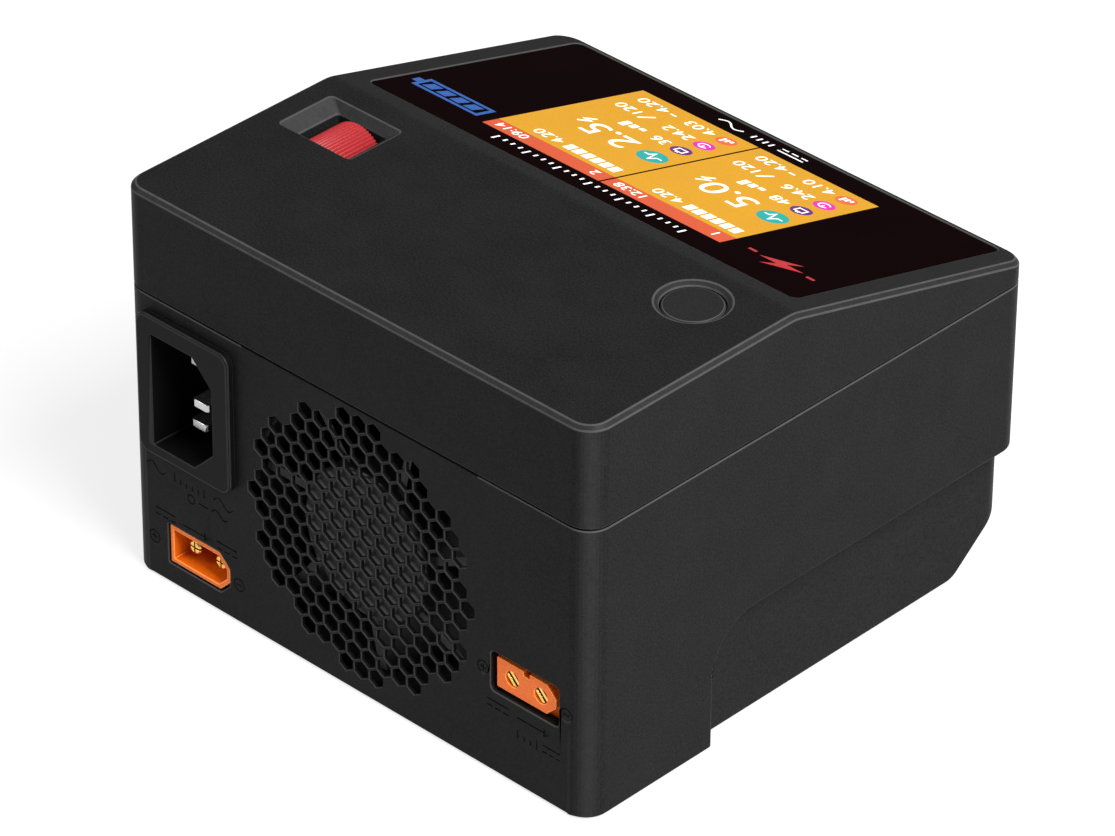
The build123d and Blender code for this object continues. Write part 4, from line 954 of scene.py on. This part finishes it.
def picture():
    """What the screen shows: for each channel a header, a large reading and four rows of figures."""
    top = SCREEN_H / 2
    low, high = 0.0, LEVEL

    def grounds(m):
        for x, w in panel_corners():
            m.rectangle(x, -top, w, SCREEN_H - HEADER_H, low, high)

    def headers(m):
        for x, w in panel_corners():
            m.rectangle(x, top - HEADER_H, w, HEADER_H, low, high)

    layer("screen_grounds", grounds, SCREEN["yellow"])
    layer("screen_headers", headers, SCREEN["header"])
    circle_x = 4.6
    rows = [("teal", -20.4, 3.14), ("purple", -28.7, 2.2), ("magenta", -35.4, 2.2), ("coral", -41.9, 2.2)]
    for colour, drop, radius in rows:
        def circles(m, drop=drop, radius=radius):
            for x, w in panel_corners():
                m.disc(x + circle_x, top + drop, radius, high, high + LEVEL)
        layer(f"screen_{colour}_discs", circles, SCREEN[colour])
    readings = [
        ("1", "12:38", "4.20", "5.0", "48", "24.6", "4.10"),
        ("2", "09:14", "4.20", "2.5", "36", "24.2", "4.03"),
    ]

    def figures(m):
        flat, raised = (high, high + LEVEL), (high + LEVEL, high + 2 * LEVEL)
        for (x, w), (channel, timer, cell, current, charge, volts, each) in zip(panel_corners(), readings):
            m.figures(channel, x + 2.4, top - 3.75, 3.5, *flat)
            m.figures(timer, x + w - 1.6, top - 3.75, 3.5, *flat, align="RIGHT")
            m.figures(cell, x + 16.6, top - 9.3, 4.0, *flat)
            for i in range(6):
                m.rectangle(x + 1.9 + 2.3 * i, top - 9.2, 1.7, 2.9, *flat)
            m.figures(current, x + 9.8, top - 23.6, 9.8, *flat)
            m.line([(x + 24.0, top - 20.2), (x + 22.4, top - 22.4),
                    (x + 23.9, top - 22.4), (x + 22.5, top - 24.4)], 0.55, *flat)
            m.figures(charge, x + 7.9, top - 30.2, 4.2, *flat)
            for i in range(3):
                m.rectangle(x + 14.6 + 1.9 * i, top - 30.1, 1.3, 1.2 + 0.9 * i, *flat)
            m.figures(volts, x + 7.9, top - 36.9, 4.2, *flat)
            m.line([(x + 18.8, top - 37.2), (x + 20.4, top - 33.6)], 0.45, *flat)
            m.figures("120", x + 21.0, top - 36.9, 4.2, *flat)
            m.figures(each, x + 7.9, top - 43.4, 4.2, *flat)
            m.rectangle(x + 17.6, top - 42.1, 1.5, 0.45, *flat)
            m.figures(cell, x + 20.0, top - 43.4, 4.2, *flat)
            centre = x + circle_x
            m.line([(centre - 2.2, top - 20.6), (centre - 1.0, top - 20.6), (centre - 0.3, top - 18.7),
                    (centre + 0.6, top - 22.2), (centre + 1.1, top - 20.6),
                    (centre + 2.2, top - 20.6)], 0.35, *raised)
            m.line([(centre - 1.0, top - 29.5), (centre - 1.0, top - 27.7), (centre + 1.0, top - 27.7),
                    (centre + 1.0, top - 29.5)], 0.3, *raised, closed=True)
            m.rectangle(centre - 0.4, top - 27.55, 0.8, 0.4, *raised)
            turns = [radians(60 - 300 * i / 18) for i in range(19)]
            m.line([(centre + 1.15 * sin(t + pi), top - 35.4 + 1.15 * cos(t + pi)) for t in turns],
                   0.3, *raised)
            m.rectangle(centre - 0.15, top - 35.5, 0.3, 1.5, *raised)
            for i in range(3):
                m.rectangle(centre - 1.2 + 0.9 * i, top - 43.0, 0.55, 1.0 + 0.6 * i, *raised)

    layer("screen_figures", figures, SCREEN["white"])


def glass_print():
    """Printed marks round the screen: a battery, a bolt and two ruled lines."""
    top = SCREEN_H / 2

    def white(m):
        for i in range(25):
            tall = 2.4 if i % 4 == 0 else 1.3
            m.rectangle(-23.4 + 1.98 * i, top + 1.9, 0.42, tall)
        direct_current(m, -8.2, -top - 3.6, 6.4, 0.42, 0.0, LEVEL)
        for i in range(4):
            m.rectangle(0.2 + 1.5 * i, -top - 4.4, 0.42, 1.8)
        m.wave(7.6, -top - 3.6, 6.6, 2.1, 0.42, 0.0, LEVEL)

    def blue(m):
        m.line([(34.0, 16.6), (50.4, 16.6), (50.4, 21.4), (34.0, 21.4)], 0.9, closed=True)
        m.rectangle(50.95, 17.9, 1.4, 2.2)
        for i in range(4):
            m.plate([(35.4 + 3.6 * i, 17.6), (37.9 + 3.6 * i, 17.6),
                     (38.5 + 3.6 * i, 20.4), (36.0 + 3.6 * i, 20.4)])

    def red(m):
        x, y = -42.0, 19.4
        m.plate([
            (x - 4.8, y - 0.7), (x - 0.6, y - 0.7), (x - 2.6, y - 3.4),
            (x + 4.8, y + 0.7), (x + 0.6, y + 0.7), (x + 2.6, y + 3.4),
        ])
        m.rectangle(x - 8.0, y - 0.4, 1.9, 0.8)
        m.rectangle(x + 6.1, y - 0.4, 1.9, 0.8)

    layer("glass_white_print", white, INK["white"])
    layer("glass_blue_print", blue, INK["blue"])
    layer("glass_red_print", red, INK["red"])


# ---------------------------------------------------------------- wheel and pins
def ribbed_wheel():
    """Scroll wheel with fine round ribs along its axis and softened ends."""
    low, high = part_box("scroll_wheel")
    axle_low, axle_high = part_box("wheel_axle")
    radius, length = (high.x - low.x) / 2, high.y - low.y
    sizes = {
        "Ribs": 58, "Rib Depth": 0.34 * MM, "Radius": radius, "Length": length, "End": 0.45 * MM,
        "Bore": (axle_high.x - axle_low.x) / 2 + 0.05 * MM,
    }
    r = Recipe("ribbed_wheel", sizes)
    steps = 464
    sockets = {"Resolution": steps, "Radius": r.size("Radius")}
    rim = r.node("GeometryNodeCurvePrimitiveCircle", None, sockets)["Curve"]
    x, y, z = r.parts(r.position())
    turn = r.math("ARCTAN2", y, x)
    crest = abs(r.math("COSINE", turn * r.size("Ribs") * 0.5))
    share = 1.0 - r.size("Rib Depth") / r.size("Radius") * (1.0 - crest)
    ribbed = r.placed(rim, r.vector(x * share, y * share, 0.0))
    half = r.size("Length") * 0.5
    axis = r.node("GeometryNodeCurvePrimitiveLine", None, {"Start": (0, 0, 0), "End": (0, 0, 1)})["Curve"]
    line = r.node("GeometryNodeResampleCurve", None, {"Curve": axis, "Count": 6})["Curve"]
    place = r.index() - 2.5
    side = r.math("SIGN", place)
    away = abs(place)
    end = r.size("End")
    in_by = (away < 2.0) * end * 0.3 + (away < 1.0) * end * 0.7
    spine = r.placed(line, r.vector(0.0, 0.0, side * (half - in_by)))
    low_end = (away > 2.0) * end * 0.7 + (away > 1.0) * end * 0.3
    narrow = 1.0 - low_end / r.size("Radius")
    solid = r.node("GeometryNodeCurveToMesh", None, {
        "Curve": spine, "Profile Curve": ribbed, "Scale": narrow, "Fill Caps": True,
    })["Mesh"]
    result = r.cut(solid, r.cylinder(r.size("Bore"), r.size("Length") * 1.5, 40))
    mesh = r.baked(result, FINISHES["red_wheel"])
    centre = (low + high) / 2
    mesh.transform(plane_at(centre, Vector((-1, 0, 0)), UP))
    show("ribbed_wheel", shaded(mesh, 32), "wheel", None, ("scroll_wheel",))


def balance_pins():
    """Square pins with pointed tips in the balance sockets."""
    boxes = solids("balance_pins")
    low, high = boxes[0]
    side, length = high.x - low.x, high.y - low.y
    r = Recipe("pin_row", {"Side": side, "Length": length, "Tip": side * 0.9})
    tip = r.size("Tip")
    stem = r.moved(r.brick(r.size("Side"), r.size("Length") - tip, r.size("Side")),
                   r.vector(0.0, (r.size("Length") + tip) * 0.5, 0.0))
    across = r.size("Side") * sqrt(0.5)
    point = r.moved(r.cone(across * 0.45, across, tip, 4), turn=(-pi / 2, 0, 0))
    point = r.moved(point, turn=(0, pi / 4, 0))
    result = r.copies(r.size("Geometry"), r.joined(stem, point))
    places = [Vector(((a.x + b.x) / 2, a.y, (a.z + b.z) / 2)) for a, b in boxes]
    mesh = r.baked(result, FINISHES["tin_pins"], point_mesh(places))
    show("pointed_pins", mesh, "housing", None, ("balance_pins",))


# ---------------------------------------------------------------- all pieces
def dress_frame():
    """Gives every CAD node that stays its finish."""
    for name, node in frame["nodes"].items():
        finish = FINISHES[slot_of[name]]
        node.data.materials.clear()
        node.data.materials.append(finish)


def add_pieces():
    bottom_shell()
    hex_panel()
    top_shell()
    refine("display_glass", "edge_ground_glass", 0.12 * MM)
    picture()
    glass_print()
    refine("button_cap", "round_button", 0.12 * MM)
    ribbed_wheel()
    refine("ac_inlet", "mains_inlet", 0.25 * MM)
    refine("ac_blades", "inlet_blades", 0.12 * MM)
    refine("dc_in_shell", "input_shell", 0.16 * MM)
    refine("dc_in_pins", "input_pins", 0.06 * MM)
    refine("dc_out_block", "output_socket", 0.12 * MM)
    refine("dc_out_contacts", "socket_forks", 0.05 * MM)
    refine("fan_rotor", "fan_wheel", 0.15 * MM)
    refine("rubber_feet", "soft_feet", 0.25 * MM)
    refine("output_blocks", "battery_sockets", 0.14 * MM)
    refine("output_contacts", "battery_contacts", 0.06 * MM)
    refine("balance_sockets", "balance_headers", 0.12 * MM)
    refine("usb_shell", "data_port_shell", 0.08 * MM)
    refine("usb_tongue", "data_port_tongue", 0.08 * MM)
    balance_pins()


# ---------------------------------------------------------------- camera, floor and light
def look_from(azimuth, elevation):
    """Direction from the object to an eye. Azimuth 0 is on the -Y side and 90 on the +X side."""
    a, e = radians(azimuth), radians(elevation)
    return Vector((sin(a) * cos(e), -cos(a) * cos(e), sin(e)))


def add_camera():
    aim = Vector((-1.13, 5.27, 36.12)) * MM
    azimuth, elevation, distance = 223.57, 33.74, 1.234
    back = look_from(azimuth, elevation)
    level = UP.cross(back).normalized()
    upright = back.cross(level)
    roll = radians(0.44)
    right = level * cos(roll) + upright * sin(roll)
    up = upright * cos(roll) - level * sin(roll)
    camera = bpy.data.objects.new("camera", bpy.data.cameras.new("camera"))
    bpy.context.scene.collection.objects.link(camera)
    place = plane_at(aim + back * distance, right, up)
    camera.matrix_world = place
    camera.data.lens = 211.9
    camera.data.sensor_width = 36.0
    camera.data.clip_start = 0.05
    camera.data.clip_end = 20.0
    bpy.context.scene.camera = camera


def softbox(name, azimuth, elevation, distance, width, height, power):
    aim = Vector((0, 0, 0.045))
    light = bpy.data.lights.new(name, "AREA")
    light.shape = "RECTANGLE"
    light.size = width
    light.size_y = height
    light.energy = power
    obj = bpy.data.objects.new(name, light)
    bpy.context.scene.collection.objects.link(obj)
    back = look_from(azimuth, elevation)
    right = UP.cross(back).normalized()
    obj.matrix_world = plane_at(aim + back * distance, right, back.cross(right))


def add_studio():
    mesh = bpy.data.meshes.new("floor")
    size = 3.0
    corners = [(-size, -size, 0), (size, -size, 0), (size, size, 0), (-size, size, 0)]
    mesh.from_pydata(corners, [], [(0, 1, 2, 3)])
    floor = bpy.data.objects.new("floor", mesh)
    bpy.context.scene.collection.objects.link(floor)
    f = Finish("pale_floor")
    grain = f.noise(0.2, 3.0)
    mesh.materials.append(f.done({
        "Base Color": f.blend(grain, tint(118, 118, 118), tint(122, 122, 122)),
        "Roughness": f.between(grain, 0.8, 0.9),
        "Specular IOR Level": 0.05,
        "Emission Color": (1.0, 1.0, 1.0, 1.0),
        "Emission Strength": 0.78,
    }))
    world = bpy.data.worlds.new("studio")
    world.use_nodes = True
    backdrop = world.node_tree.nodes["Background"]
    backdrop.inputs["Color"].default_value = (1.0, 1.0, 1.0, 1.0)
    backdrop.inputs["Strength"].default_value = 0.24
    bpy.context.scene.world = world
    bpy.context.scene.view_settings.view_transform = "Standard"
    softbox("key", 266, 48, 1.5, 0.9, 0.9, 62.0)
    softbox("rim", 135, 40, 1.6, 0.7, 0.5, 8.0)


add_camera()
add_studio()
dress_frame()
add_pieces()
